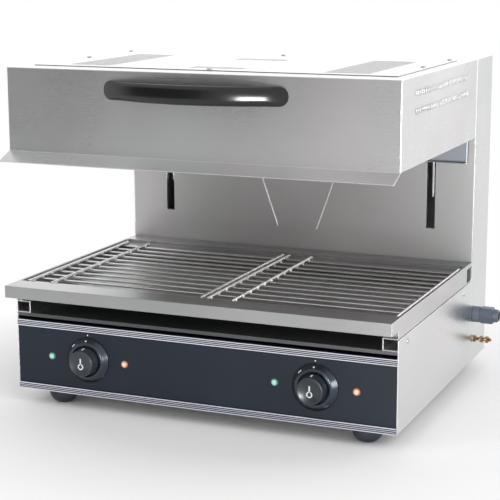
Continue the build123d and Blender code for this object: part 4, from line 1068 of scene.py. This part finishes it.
def grey_card(name, place, aim, width, height, shade):
    """A grey board with soft edges that is only seen mirrored, so that steel isn't all white."""
    shape = bmesh.new()
    bmesh.ops.create_grid(shape, x_segments=1, y_segments=1, size=0.5)
    bmesh.ops.scale(shape, vec=(width, height, 1), verts=shape.verts)
    mesh = bpy.data.meshes.new(name)
    shape.to_mesh(mesh)
    shape.free()
    card = bpy.data.objects.new(name, mesh)
    bpy.context.scene.collection.objects.link(card)
    card.location = place
    card.rotation_euler = (Vector(aim) - Vector(place)).to_track_quat("Z", "Y").to_euler()
    finish = Finish(name, 0.9)
    finish.colour(finish.mixed(finish.noise(finish.where.outputs["Object"], 4.0),
                               (shade * 0.95,) * 3, (shade * 1.05,) * 3))
    spot = finish.add("SeparateXYZ", Vector=finish.where.outputs["Object"])
    inside = [finish.between(finish.math("ABSOLUTE", spot.outputs[axis]), size * 0.5, size * 0.25)
              for axis, size in (("X", width), ("Y", height))]
    clear = finish.add("BsdfTransparent")
    soft = finish.add("MixShader", n0=finish.math("MULTIPLY", *inside))
    finish.links.new(clear.outputs[0], soft.inputs[1])
    finish.links.new(finish.shader.outputs[0], soft.inputs[2])
    finish.links.new(soft.outputs[0], finish.nodes["Material Output"].inputs["Surface"])
    mesh.materials.append(finish.material)
    card.visible_camera = False
    card.visible_diffuse = False
    card.visible_shadow = False
    card.visible_transmission = False


def make_lights():
    """Soft lamps in front, behind and at the right, two that only mirror, and a grey card."""
    area_lamp("key_lamp", (2.4, -2.0, 2.4), (0, 0, 0.3), 2.4, 1.8, 60, mirrored=False)
    area_lamp("fill_lamp", (-2.2, -2.6, 1.8), (0, 0, 0.25), 2.0, 2.0, 30, mirrored=False)
    area_lamp("back_lamp", (-0.9, 3.0, 1.5), (0, 0, 0.4), 3.6, 1.6, 13)
    area_lamp("side_lamp", (2.2, 2.0, 0.9), (0.3, 0, 0.3), 2.0, 1.4, 24)
    area_lamp("handle_glint", (0.526, -1.76, 0.16), (0.1, -0.26, 0.48), 0.5, 0.3, 20, lights=False)
    area_lamp("bezel_crescent", (1.9, -0.7, 0.25), (0.1, -0.23, 0.1), 0.8, 0.6, 16, lights=False)
    grey_card("grey_card", (-1.35, -1.9, 0.5), (0, 0, 0.3), 3.2, 2.4, 0.22)


# ==== the machine ==========================================================================
make_camera()
make_world()
make_floor()
make_lights()
dress_packed_pieces()
make_handle()
for side in ("left", "right"):
    make_knob(side)
make_bezels()
make_panel_dots()
make_lamps("green", lens_green)
make_lamps("amber", lens_amber)
make_screws()
make_feet()
make_gland()
make_bonding_point()
make_rack_welds()
bpy.context.scene.view_settings.view_transform = "Standard"
